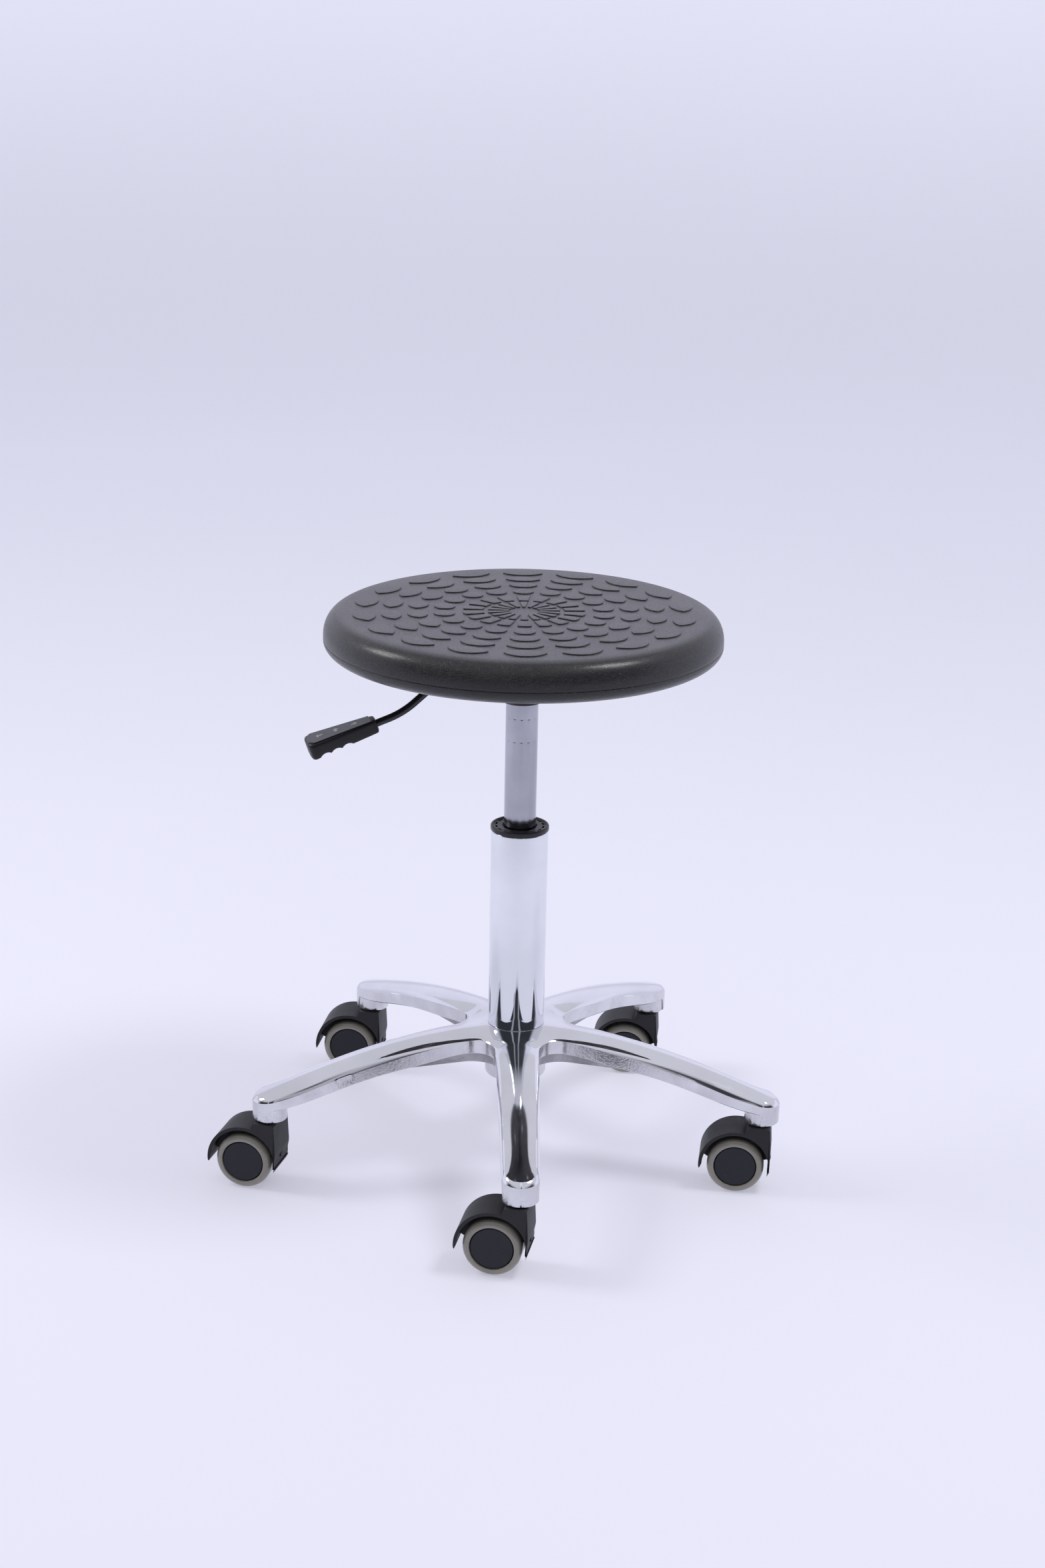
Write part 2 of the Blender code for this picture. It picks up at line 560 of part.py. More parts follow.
def build_seat(parent, finishes):
    """The moulded cushion over its insert board, and the bolted plate below."""
    upper = (SEAT_RADIUS - SEAT_UPPER_ROUND, SEAT_TOP - SEAT_UPPER_ROUND)
    lower = (SEAT_RADIUS - SEAT_LOWER_ROUND, SEAT_BOTTOM + SEAT_LOWER_ROUND)
    recess = BOARD_RADIUS + GAP
    recess_top = SEAT_BOTTOM + BOARD_THICKNESS + GAP
    profile = [(0, SEAT_TOP), *arc(upper, SEAT_UPPER_ROUND, 90, 0, 5),
               *arc(lower, SEAT_LOWER_ROUND, 0, -90, 3),
               (recess, SEAT_BOTTOM), (recess, recess_top), (0, recess_top)]
    sharpen(turned("seat_cushion", profile, finishes["seat_skin"], parent, 48), 50)
    board_top = SEAT_BOTTOM + BOARD_THICKNESS
    board = turned("insert_board", [(0, board_top), (BOARD_RADIUS, board_top), (BOARD_RADIUS, SEAT_BOTTOM),
                                    (0, SEAT_BOTTOM)], finishes["plywood"], parent, 48)
    half = PLATE_SIDE / 2
    plate = block("seat_plate", (-half, -half, PLATE_BOTTOM), (half, half, PLATE_TOP),
                  finishes["black_paint"], parent)
    bevel = plate.modifiers.new("Corners", "BEVEL")
    bevel.affect = "EDGES"
    bevel.width = 0.0006
    bevel.segments = 1
    for number, spot in enumerate(bolt_spots(), 1):
        hole = rod_cutter(f"bolt_hole_{number}", BOLT_RADIUS + BORE_FIT, PLATE_BOTTOM - OVERRUN,
                          board_top + OVERRUN, parent, 12, spot)
        combine(plate, hole, "DIFFERENCE")
        combine(board, hole, "DIFFERENCE")
        build_bolt(number, spot, finishes["steel"], parent)
    sharpen(board)


def build_bolt(number, spot, finish, parent):
    head_top = PLATE_BOTTOM - GAP
    head = turned(f"seat_bolt_{number}", [(0, head_top), (BOLT_HEAD_RADIUS, head_top),
                                          (BOLT_HEAD_RADIUS, head_top - BOLT_HEAD_HEIGHT),
                                          (0, head_top - BOLT_HEAD_HEIGHT)], finish, parent, 6)
    head.location = (spot[0], spot[1], 0)
    shank = rod_cutter(f"bolt_shank_{number}", BOLT_RADIUS, head_top - BOLT_HEAD_HEIGHT / 4,
                       SEAT_BOTTOM + BOARD_THICKNESS - BOLT_TIP_COVER, parent, 12, spot)
    combine(head, shank, "UNION")
    sharpen(head)


def build_mechanism(parent, finishes):
    """The pressed housing with its taper socket, the pivot pin and the window for the lever."""
    half = MECHANISM_WIDTH / 2
    inside = half - SHEET
    channel_left = -CHANNEL_LEFT
    housing = block("mechanism_housing", (channel_left, -half, CHANNEL_BOTTOM),
                    (CHANNEL_RIGHT, half, CHANNEL_TOP), finishes["black_paint"], parent)
    lower = block("socket_box", (-SOCKET_LEFT, -half, SOCKET_BOTTOM),
                  (SOCKET_RIGHT, half, CHANNEL_BOTTOM + 2 * SHEET), None, parent, CUTTERS)
    combine(housing, lower, "UNION")
    hollow = block("channel_hollow", (channel_left + SHEET, -inside, CHANNEL_BOTTOM + SHEET),
                   (CHANNEL_RIGHT - SHEET, inside, CHANNEL_TOP + OVERRUN), None, parent, CUTTERS)
    combine(housing, hollow, "DIFFERENCE")
    low_hollow = block("socket_hollow", (-SOCKET_LEFT + SHEET, -inside, SOCKET_BOTTOM + SHEET),
                       (SOCKET_RIGHT - SHEET, inside, CHANNEL_BOTTOM + OVERRUN), None, parent, CUTTERS)
    combine(housing, low_hollow, "DIFFERENCE")
    socket = rod_cutter("taper_socket", CYLINDER_RADIUS + SOCKET_WALL, SOCKET_BOTTOM + SHEET / 4,
                        SOCKET_TOP - GAP, parent, 32)
    combine(housing, socket, "UNION")
    narrow = CYLINDER_RADIUS - CYLINDER_TAPER + GAP
    wide = CYLINDER_RADIUS + GAP
    bore = turned("taper_bore", [(0, SOCKET_TOP + OVERRUN), (narrow, SOCKET_TOP + OVERRUN),
                                 (narrow, SOCKET_TOP), (wide, SOCKET_BOTTOM + SOCKET_LEAD),
                                 (wide, SOCKET_BOTTOM - OVERRUN), (0, SOCKET_BOTTOM - OVERRUN)],
                  None, parent, 40, group=CUTTERS)
    combine(housing, bore, "DIFFERENCE")
    window_half = LEVER_RADIUS + WINDOW_PLAY
    window = block("lever_window", (channel_left - OVERRUN, -window_half, LEVER_HEIGHT - window_half),
                   (channel_left + 2 * SHEET, window_half, CHANNEL_TOP + OVERRUN), None, parent, CUTTERS)
    combine(housing, window, "DIFFERENCE")
    pin_hole = rod_cutter("pin_hole", PIVOT_PIN_RADIUS + BORE_FIT, -half - OVERRUN, half + OVERRUN,
                          parent, 12)
    lay_across(pin_hole, (-LEVER_PIVOT, 0, LEVER_HEIGHT))
    combine(housing, pin_hole, "DIFFERENCE")
    sharpen(housing, 30)
    pin_half = half + PIN_PROUD
    pin = turned("lever_pin", [(0, pin_half), (PIVOT_PIN_RADIUS, pin_half), (PIVOT_PIN_RADIUS, -pin_half),
                               (0, -pin_half)], finishes["steel"], parent, 12)
    lay_across(pin, (-LEVER_PIVOT, 0, LEVER_HEIGHT))
    sharpen(pin)


def build_valve_button(parent, finish):
    """The valve pin, standing out of the cylinder head under the lever's inner end."""
    top = LEVER_HEIGHT - LEVER_RADIUS - GAP
    bottom = SOCKET_TOP - VALVE_IN_HEAD
    button = turned("valve_button", [(0, top), (VALVE_RADIUS, top), (VALVE_RADIUS, bottom), (0, bottom)],
                    finish, parent, 16)
    sharpen(button)


def lever_route():
    """Centre line of the lever rod in the mechanism's XZ plane, relative to the pivot pin."""
    pitch = math.radians(HANDLE_PITCH)
    first_bend = Vector((-LEVER_FIRST_BEND, 0))
    second_bend = Vector((-LEVER_SECOND_BEND[0], -LEVER_SECOND_BEND[1]))
    handle_in = Vector((-HANDLE_START, -HANDLE_DROP))
    handle_end = handle_in - HANDLE_GRIP_DEPTH * Vector((math.cos(pitch), math.sin(pitch)))
    corners = [Vector((LEVER_NOSE, 0)), first_bend, second_bend, handle_end]
    points = [corners[0]]
    for before, corner, after in zip(corners, corners[1:], corners[2:]):
        start = corner + (before - corner).normalized() * LEVER_BEND
        end = corner + (after - corner).normalized() * LEVER_BEND
        for i in range(5):
            t = i / 4
            points.append(start.lerp(corner, t).lerp(corner.lerp(end, t), t))
    points.append(corners[-1])
    return [Vector((p.x + LEVER_PIVOT, 0, p.y)) for p in points]


def build_lever(parent, finishes):
    """The bent rod with its pivot block, and the moulded handle on its end."""
    curve = bpy.data.curves.new("lever_path", "CURVE")
    curve.dimensions = "3D"
    curve.bevel_depth = LEVER_RADIUS
    curve.bevel_resolution = 2
    curve.use_fill_caps = True
    route = lever_route()
    spline = curve.splines.new("POLY")
    spline.points.add(len(route) - 1)
    for point, place in zip(spline.points, route):
        point.co = (*place, 1)
    path = bpy.data.objects.new("lever_path", curve)
    PARTS.objects.link(path)
    bpy.context.view_layer.update()
    mesh = bpy.data.meshes.new_from_object(path.evaluated_get(bpy.context.evaluated_depsgraph_get()))
    bpy.data.objects.remove(path)
    shape = bmesh.new()
    shape.from_mesh(mesh)
    bmesh.ops.remove_doubles(shape, verts=shape.verts, dist=0.00001)
    rod = from_bmesh("lever_rod", shape, finishes["black_gloss"], parent)
    corner = Vector(PIVOT_BLOCK) / 2
    pivot = block("pivot_block", -corner, corner, None, parent, CUTTERS)
    combine(rod, pivot, "UNION")
    hole = rod_cutter("pivot_hole", PIVOT_PIN_RADIUS + BORE_FIT, -corner.y - OVERRUN, corner.y + OVERRUN,
                      parent, 12)
    lay_across(hole, (0, 0, 0))
    combine(rod, hole, "DIFFERENCE")
    sharpen(rod)
    build_handle(route, parent, finishes)


def build_handle(route, parent, finishes):
    """A paddle that widens to its tip, sloped with the rod's end and bored to take it."""
    direction = (route[-1] - route[-2]).normalized()
    start = route[-1] - direction * HANDLE_GRIP_DEPTH
    tilt = math.atan2(direction.z, direction.x)
    shape = bmesh.new()
    bmesh.ops.create_cube(shape, size=1.0)
    for corner in shape.verts:
        width, height = HANDLE_TIP if corner.co.x > 0 else HANDLE_ROOT
        along = HANDLE_LENGTH if corner.co.x > 0 else 0.0
        corner.co = (along, math.copysign(width / 2, corner.co.y),
                     math.copysign(height / 2, corner.co.z))
    bmesh.ops.rotate(shape, verts=shape.verts, matrix=Matrix.Rotation(-tilt, 3, "Y"))
    bmesh.ops.translate(shape, verts=shape.verts, vec=start)
    handle = from_bmesh("lever_handle", shape, finishes["black_plastic"], parent)
    bevel = handle.modifiers.new("Edges", "BEVEL")
    bevel.width = HANDLE_ROUND
    bevel.segments = 2
    bevel.limit_method = "ANGLE"
    socket = rod_cutter("handle_bore", LEVER_RADIUS + GAP, -OVERRUN, HANDLE_GRIP_DEPTH + GAP, parent, 14)
    socket.rotation_mode = "QUATERNION"
    socket.rotation_quaternion = direction.to_track_quat("Z", "Y")
    socket.location = start
    combine(handle, socket, "DIFFERENCE")
    sharpen(handle, 35)


# --- casters -----------------------------------------------------------------------------------------------
BLOCK_TOP = BOSS_BOTTOM - BLOCK_CLEARANCE


def hood_outline():
    """The hood from the side: an arched shell with a solid block to the stem, about the axle."""
    front = CASTER_TRAIL + BLOCK_REACH
    inside = HOOD_RADIUS - HOOD_WALL
    top = BLOCK_TOP - WHEEL_RADIUS
    tip = math.degrees(math.asin(HOOD_LIP / HOOD_RADIUS))
    outline = [(front, -HOOD_LIP), (front - HOOD_WALL / 5, top), (CASTER_TRAIL - BLOCK_REACH, top)]
    outline += [(x, z + HOOD_LIFT) for x, z in arc((0, 0), HOOD_RADIUS, 76, 180 - tip, 12)]
    outline += [(HOOD_LIP - HOOD_RADIUS, -HOOD_LIP), (-inside, -HOOD_LIP)]
    outline += [(x, z + HOOD_LIFT) for x, z in arc((0, 0), inside, 176, 16, 14)]
    outline += [(inside - HOOD_LIP, -HOOD_LIP)]
    return outline


def web_outline():
    """The plate between the wheels, joined to the shell all round and rounded under the axle."""
    rim = HOOD_RADIUS - HOOD_WALL / 2
    edge = [(x, z + HOOD_LIFT) for x, z in arc((0, 0), rim, 4, 172, 12)]
    boss = arc((0, 0), WEB_BOSS_RADIUS, 190, 350, 6)
    return edge + [(-WEB_FOOT_REACH, WEB_FOOT)] + boss + [(WEB_FOOT_REACH, WEB_FOOT)]


def build_caster(number, spot, heading, parent, finishes):
    """One caster: its swivelling half, then its two wheels, each on an empty on its own axis."""
    swivel = add_empty(f"caster_{number}_swivel", parent, (spot[0], spot[1], 0), heading - 180)
    axle_point = add_empty(f"caster_{number}_axle_point", swivel, (-CASTER_TRAIL, 0, WHEEL_RADIUS))
    hood = extruded(f"caster_{number}_hood", hood_outline(), HOOD_HALF_WIDTH, finishes["hood_plastic"],
                    axle_point)
    web = extruded(f"web_{number}", web_outline(), WEB_THICKNESS / 2, None, axle_point, CUTTERS)
    combine(hood, web, "UNION")
    axle_hole = rod_cutter(f"axle_hole_{number}", AXLE_RADIUS + BORE_FIT, -HOOD_HALF_WIDTH, HOOD_HALF_WIDTH,
                           axle_point, 12)
    lay_across(axle_hole, (0, 0, 0))
    combine(hood, axle_hole, "DIFFERENCE")
    stem_bottom = BLOCK_TOP - STEM_IN_HOOD
    stem_hole = rod_cutter(f"hood_stem_hole_{number}", STEM_LOWER_RADIUS + BORE_FIT, stem_bottom - GAP,
                           BLOCK_TOP + OVERRUN, swivel, 14)
    combine(hood, stem_hole, "DIFFERENCE")
    sharpen(hood, 30)
    stem_top = BOSS_BOTTOM + STEM_IN_BASE
    profile = [(0, stem_top), (STEM_RADIUS - STEM_CHAMFER, stem_top),
               (STEM_RADIUS, stem_top - STEM_CHAMFER), (STEM_RADIUS, BOSS_BOTTOM),
               (STEM_LOWER_RADIUS, BOSS_BOTTOM), (STEM_LOWER_RADIUS, stem_bottom), (0, stem_bottom)]
    sharpen(turned(f"caster_{number}_stem", profile, finishes["steel"], swivel, 16))
    axle_half = WHEEL_OUTER - AXLE_INSET
    profile = [(0, axle_half), (AXLE_RADIUS, axle_half), (AXLE_RADIUS, -axle_half), (0, -axle_half)]
    axle = turned(f"caster_{number}_axle", profile, finishes["steel"], axle_point, 12)
    lay_across(axle, (0, 0, 0))
    sharpen(axle)
    for side, turn in (("left", -90), ("right", 90)):
        wheel_axis = add_empty(f"caster_{number}_{side}_wheel", axle_point)
        wheel_axis.rotation_euler.x = math.radians(turn)
        build_wheel(f"caster_{number}_{side}", wheel_axis, finishes)


def build_wheel(name, parent, finishes):
    """A hub with a closed cap and a soft tyre round it; the wheel's outer face looks along its Z axis."""
    cap = WHEEL_OUTER - CAP_RECESS
    bore = AXLE_RADIUS + BORE_FIT
    bore_end = WHEEL_OUTER - AXLE_INSET + GAP
    edge = CAP_RECESS * 0.75
    profile = [(0, cap), (WHEEL_HUB_RADIUS - edge, cap), (WHEEL_HUB_RADIUS, cap - edge),
               (WHEEL_HUB_RADIUS, WHEEL_INNER), (bore, WHEEL_INNER), (bore, bore_end), (0, bore_end)]
    sharpen(turned(f"{name}_hub", profile, finishes["hub_plastic"], parent, 18))
    tread = WHEEL_RADIUS - TREAD_ROUND
    inner = WHEEL_HUB_RADIUS + GAP
    outer_side = arc((tread, WHEEL_OUTER - TREAD_ROUND), TREAD_ROUND, 90, 0, 2)
    inner_side = arc((WHEEL_RADIUS - INNER_ROUND, WHEEL_INNER + INNER_ROUND), INNER_ROUND, 0, -90, 1)
    profile = [(inner, WHEEL_OUTER - CAP_RECESS / 2), *outer_side, *inner_side, (inner, WHEEL_INNER)]
    sharpen(turned(f"{name}_tyre", profile, finishes["tyre"], parent, 24, closed=True), 50)


def make_finishes():
    return {
        "polished_aluminium": material("polished_aluminium", (0.80, 0.80, 0.83), 0.12, 1.0),
        "chrome": material("chrome", (0.83, 0.84, 0.87), 0.06, 1.0),
        "satin_steel": material("satin_steel", (0.50, 0.51, 0.54), 0.30, 1.0),
        "steel": material("steel", (0.58, 0.58, 0.60), 0.35, 1.0),
        "brass": material("brass", (0.70, 0.55, 0.28), 0.35, 1.0),
        "black_plastic": material("black_plastic", (0.018, 0.018, 0.020), 0.42),
        "black_gloss": material("black_gloss", (0.010, 0.010, 0.012), 0.18),
        "black_paint": material("black_paint", (0.015, 0.015, 0.017), 0.38),
        "hood_plastic": material("hood_plastic", (0.026, 0.027, 0.032), 0.55),
        "hub_plastic": material("hub_plastic", (0.022, 0.024, 0.030), 0.48),
        "tyre": material("tyre", (0.235, 0.225, 0.190), 0.22),
        "seat_skin": material("seat_skin", (0.020, 0.020, 0.022), 0.50),
        "rubber": material("rubber", (0.020, 0.020, 0.020), 0.80),
        "plywood": material("plywood", (0.45, 0.30, 0.17), 0.70),
    }


clear_scene()
PARTS = collection("swivel_stool")
CUTTERS = collection("cutters")


def main():
    finishes = make_finishes()
    stool = add_empty("stool", None, (0, 0, -HUB_BOTTOM))
    build_base(finishes["polished_aluminium"], stool)
    build_column(stool, finishes)
    spindle_axis = add_empty("spindle_axis", stool)
    build_spindle(spindle_axis, finishes)
    seat_axis = add_empty("seat_axis", spindle_axis, turn=RELEASE_ANGLE)
    build_cylinder(seat_axis, finishes)
    build_seat(seat_axis, finishes)
    build_mechanism(seat_axis, finishes)
    build_valve_button(seat_axis, finishes["steel"])
    lever_axis = add_empty("lever_axis", seat_axis, (-LEVER_PIVOT, 0, LEVER_HEIGHT))
    build_lever(lever_axis, finishes)
    for number, (spot, heading) in enumerate(zip(stem_spots(), CASTER_HEADINGS), 1):
        build_caster(number, spot, heading, stool, finishes)


main()
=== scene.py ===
"""Looks of the adjustable swivel stool: fine meshes, finishes, studio light and camera over the CAD frame.

Lengths are metres, +Z is up and the frame's origin is at the foot of the column, so the floor lies below
zero. Every sub-assembly is a class that holds its own sizes, and takes its place from the frame.
"""

from __future__ import annotations

import json
import logging
import math
from collections.abc import Iterable, Sequence
from dataclasses import dataclass, field
from enum import Enum
from functools import cached_property

import bmesh
import bpy
from mathutils import Matrix, Vector

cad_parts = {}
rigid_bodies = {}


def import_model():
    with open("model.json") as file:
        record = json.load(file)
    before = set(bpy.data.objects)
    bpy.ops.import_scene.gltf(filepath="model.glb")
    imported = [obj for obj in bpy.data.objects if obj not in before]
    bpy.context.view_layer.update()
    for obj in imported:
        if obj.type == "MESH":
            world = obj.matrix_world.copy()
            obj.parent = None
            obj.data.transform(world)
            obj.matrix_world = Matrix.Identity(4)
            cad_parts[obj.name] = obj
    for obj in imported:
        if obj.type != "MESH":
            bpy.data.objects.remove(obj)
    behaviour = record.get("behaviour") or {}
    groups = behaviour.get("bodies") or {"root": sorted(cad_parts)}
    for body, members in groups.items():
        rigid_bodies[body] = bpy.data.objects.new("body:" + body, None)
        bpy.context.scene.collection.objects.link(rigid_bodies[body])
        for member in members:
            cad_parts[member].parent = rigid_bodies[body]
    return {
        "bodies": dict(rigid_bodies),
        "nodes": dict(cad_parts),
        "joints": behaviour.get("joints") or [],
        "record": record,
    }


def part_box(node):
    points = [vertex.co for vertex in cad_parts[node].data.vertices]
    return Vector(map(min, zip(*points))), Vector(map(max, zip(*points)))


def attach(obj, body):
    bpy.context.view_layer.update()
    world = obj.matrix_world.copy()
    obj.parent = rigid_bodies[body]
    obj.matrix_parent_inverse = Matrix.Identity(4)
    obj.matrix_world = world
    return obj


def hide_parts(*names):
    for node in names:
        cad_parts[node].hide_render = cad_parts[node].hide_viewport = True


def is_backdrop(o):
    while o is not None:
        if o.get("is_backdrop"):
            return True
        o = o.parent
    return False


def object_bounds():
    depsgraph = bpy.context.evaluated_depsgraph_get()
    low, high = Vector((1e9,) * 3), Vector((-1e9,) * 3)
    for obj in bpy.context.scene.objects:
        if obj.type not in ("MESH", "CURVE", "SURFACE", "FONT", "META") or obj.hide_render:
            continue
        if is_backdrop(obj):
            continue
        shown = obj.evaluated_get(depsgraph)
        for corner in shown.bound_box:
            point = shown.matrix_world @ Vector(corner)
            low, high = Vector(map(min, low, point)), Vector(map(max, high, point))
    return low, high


LOG = logging.getLogger("stool")

Point = tuple[float, float]
Color = tuple[float, float, float]
Wire = bpy.types.NodeSocket | float | tuple


# --- shader tools -------------------------------------------------------------------------------------


class Board:
    """A node tree with short calls that add nodes and join them."""

    def __init__(self, tree: bpy.types.NodeTree) -> None:
        """Keeps the tree.

        Args:
            tree: The material's or the group's node tree.
        """
        self.tree = tree

    def add(self, kind: str, inputs: dict | None = None, **settings: object) -> bpy.types.Node:
        """Adds one node.

        Args:
            kind: Blender's name of the node type.
            inputs: Input name or number against a socket to join or a value to set.
            **settings: Properties of the node itself.

        Returns:
            The new node.
        """
        node = self.tree.nodes.new(kind)
        for key, value in settings.items():
            setattr(node, key, value)
        for key, value in (inputs or {}).items():
            self.feed(node.inputs[key], value)
        return node

    def feed(self, socket: bpy.types.NodeSocket, value: Wire) -> None:
        """Joins a socket to another one, or sets its value.

        Args:
            socket: The input to feed.
            value: An output socket, or a plain value.
        """
        if isinstance(value, bpy.types.NodeSocket):
            self.tree.links.new(value, socket)
        else:
            socket.default_value = value

    def math(self, operation: str, first: Wire, second: Wire = 0.0,
             clamp: bool = False) -> bpy.types.NodeSocket:
        """Adds a Math node.

        Args:
            operation: The sum it does, such as MULTIPLY.
            first: First value.
            second: Second value.
            clamp: Whether the result is kept between 0 and 1.

        Returns:
            The node's result socket.
        """
        node = self.add("ShaderNodeMath", {0: first, 1: second}, operation=operation, use_clamp=clamp)
        return node.outputs[0]

    def spread(self, value: Wire, start: Wire, end: Wire, low: Wire, high: Wire) -> bpy.types.NodeSocket:
        """Maps a value smoothly from one range to another.

        Args:
            value: The value to map.
            start: Input that gives the low end.
            end: Input that gives the high end.
            low: Result at the start.
            high: Result at the end.

        Returns:
            The mapped value.
        """
        node = self.add(
            "ShaderNodeMapRange",
            {"Value": value, "From Min": start, "From Max": end, "To Min": low, "To Max": high},
            interpolation_type="SMOOTHSTEP",
        )
        return node.outputs["Result"]

    def noise(self, place: Wire, scale: Wire, detail: float = 3.0) -> bpy.types.NodeSocket:
        """Adds a noise texture.

        Args:
            place: Coordinates.
            scale: Cells for each metre.
            detail: Octaves of finer noise.

        Returns:
            The noise value, near 0.5.
        """
        node = self.add("ShaderNodeTexNoise", {"Vector": place, "Scale": scale, "Detail": detail})
        return node.outputs["Fac"]

    def stretched(self, stretch: tuple[float, float, float]) -> bpy.types.NodeSocket:
        """Object coordinates scaled by a different factor along each axis.

        Args:
            stretch: The three factors.

        Returns:
            The scaled coordinates.
        """
        place = self.add("ShaderNodeTexCoord").outputs["Object"]
        return self.add("ShaderNodeMapping", {"Vector": place, "Scale": stretch}).outputs["Vector"]

    def tint(self, amount: Wire, first: Wire, second: Wire) -> bpy.types.NodeSocket:
        """Mixes two colours.

        Args:
            amount: Share of the second colour.
            first: First colour.
            second: Second colour.

        Returns:
            The mixed colour.
        """
        node = self.add("ShaderNodeMix", data_type="RGBA")
        self.feed(node.inputs[0], amount)
        self.feed(node.inputs[6], first)
        self.feed(node.inputs[7], second)
        return node.outputs[2]


class Effect:
    """A shared surface effect: a node group built once and placed with each material's own values."""

    title = ""
    takes: dict[str, float] = {}
    gives: tuple[str, ...] = ()

    @classmethod
    def tree(cls) -> bpy.types.NodeTree:
        """Returns the effect's node group, built on first use."""
        found = bpy.data.node_groups.get(cls.title)
        if found:
            return found
        tree = bpy.data.node_groups.new(cls.title, "ShaderNodeTree")
        for name, value in cls.takes.items():
            socket = tree.interface.new_socket(name, in_out="INPUT", socket_type="NodeSocketFloat")
            socket.default_value = value
        for name in cls.gives:
            tree.interface.new_socket(name, in_out="OUTPUT", socket_type="NodeSocketFloat")
        board = Board(tree)
        start = board.add("NodeGroupInput")
        end = board.add("NodeGroupOutput")
        cls.wire(board, start.outputs, end.inputs)
        return tree

    @classmethod
    def wire(cls, board: Board, takes: bpy.types.NodeOutputs, gives: bpy.types.NodeInputs) -> None:
        """Joins the nodes inside the group.

        Args:
            board: The group's board.
            takes: Sockets that bring the group's inputs.
            gives: Sockets that take its results.
        """
        raise NotImplementedError

    @classmethod
    def place(cls, board: Board, **values: Wire) -> bpy.types.NodeOutputs:
        """Places the group in a material.

        Args:
            board: The material's board.
            **values: Input values, named with underscores for spaces.

        Returns:
            The group's outputs.
        """
        node = board.add("ShaderNodeGroup", node_tree=cls.tree())
        for name, value in values.items():
            board.feed(node.inputs[name.replace("_", " ")], value)
        return node.outputs


class Mottle(Effect):
    """Broad, soft patches between two values, as handling and polishing leave them."""

    title = "soft_mottle"
    takes = {"Scale": 12.0, "Low": 0.0, "High": 1.0}
    gives = ("Value",)

    @classmethod
    def wire(cls, board: Board, takes: bpy.types.NodeOutputs, gives: bpy.types.NodeInputs) -> None:
        """Two octaves of noise, spread between the low and the high value."""
        place = board.add("ShaderNodeTexCoord").outputs["Object"]
        patches = board.noise(place, takes["Scale"], 4.0)
        value = board.spread(patches, 0.32, 0.68, takes["Low"], takes["High"])
        board.feed(gives["Value"], value)


class LeatherGrain(Effect):
    """Moulded leather texture: small rounded cells with fine creases between them."""

    title = "leather_grain"
    takes = {"Cells": 800.0, "Sand": 0.3}
    gives = ("Height", "Crease")

    @classmethod
    def wire(cls, board: Board, takes: bpy.types.NodeOutputs, gives: bpy.types.NodeInputs) -> None:
        """Cells from a bent Voronoi pattern, with sandy noise on top."""
        place = board.add("ShaderNodeTexCoord").outputs["Object"]
        bend = board.add("ShaderNodeTexNoise", {"Vector": place, "Scale": 420.0, "Detail": 2.0})
        shift = board.add("ShaderNodeVectorMath", {0: bend.outputs["Color"], 1: (0.5, 0.5, 0.5)},
                          operation="SUBTRACT")
        small = board.add("ShaderNodeVectorMath", {0: shift.outputs[0], "Scale": 0.0016}, operation="SCALE")
        bent = board.add("ShaderNodeVectorMath", {0: place, 1: small.outputs[0]}, operation="ADD")
        cells = board.add("ShaderNodeTexVoronoi", {"Vector": bent.outputs[0], "Scale": takes["Cells"]},
                          feature="DISTANCE_TO_EDGE")
        crease = board.spread(cells.outputs["Distance"], 0.0, 0.22, 1.0, 0.0)
        sand = board.noise(place, 2600.0, 2.0)
        dome = board.math("SUBTRACT", 1.0, crease)
        grit = board.math("MULTIPLY", sand, takes["Sand"])
        board.feed(gives["Height"], board.math("ADD", dome, grit))
        board.feed(gives["Crease"], crease)


class SparkGrain(Effect):
    """Fine grain of a spark-eroded mould, for plastic and powder coat."""

    title = "spark_grain"
    takes = {"Scale": 1400.0, "Bite": 1.0}
    gives = ("Height",)

    @classmethod
    def wire(cls, board: Board, takes: bpy.types.NodeOutputs, gives: bpy.types.NodeInputs) -> None:
        """Noise raised to soft bumps."""
        place = board.add("ShaderNodeTexCoord").outputs["Object"]
        bumps = board.spread(board.noise(place, takes["Scale"], 2.0), 0.35, 0.65, 0.0, 1.0)
        board.feed(gives["Height"], board.math("MULTIPLY", bumps, takes["Bite"]))


class ToolLines(Effect):
    """Fine parallel lines that grinding or turning leaves, stretched along one axis."""

    title = "tool_lines"
    takes = {"Fineness": 1.0}
    gives = ("Height", "Value")

    @classmethod
    def wire(cls, board: Board, takes: bpy.types.NodeOutputs, gives: bpy.types.NodeInputs) -> None:
        """Noise squeezed along Z, so that its cells become rings round an upright piece."""
        place = board.stretched((14.0, 14.0, 2200.0))
        lines = board.noise(place, takes["Fineness"], 2.0)
        board.feed(gives["Height"], lines)
        board.feed(gives["Value"], board.spread(lines, 0.3, 0.7, 0.0, 1.0))


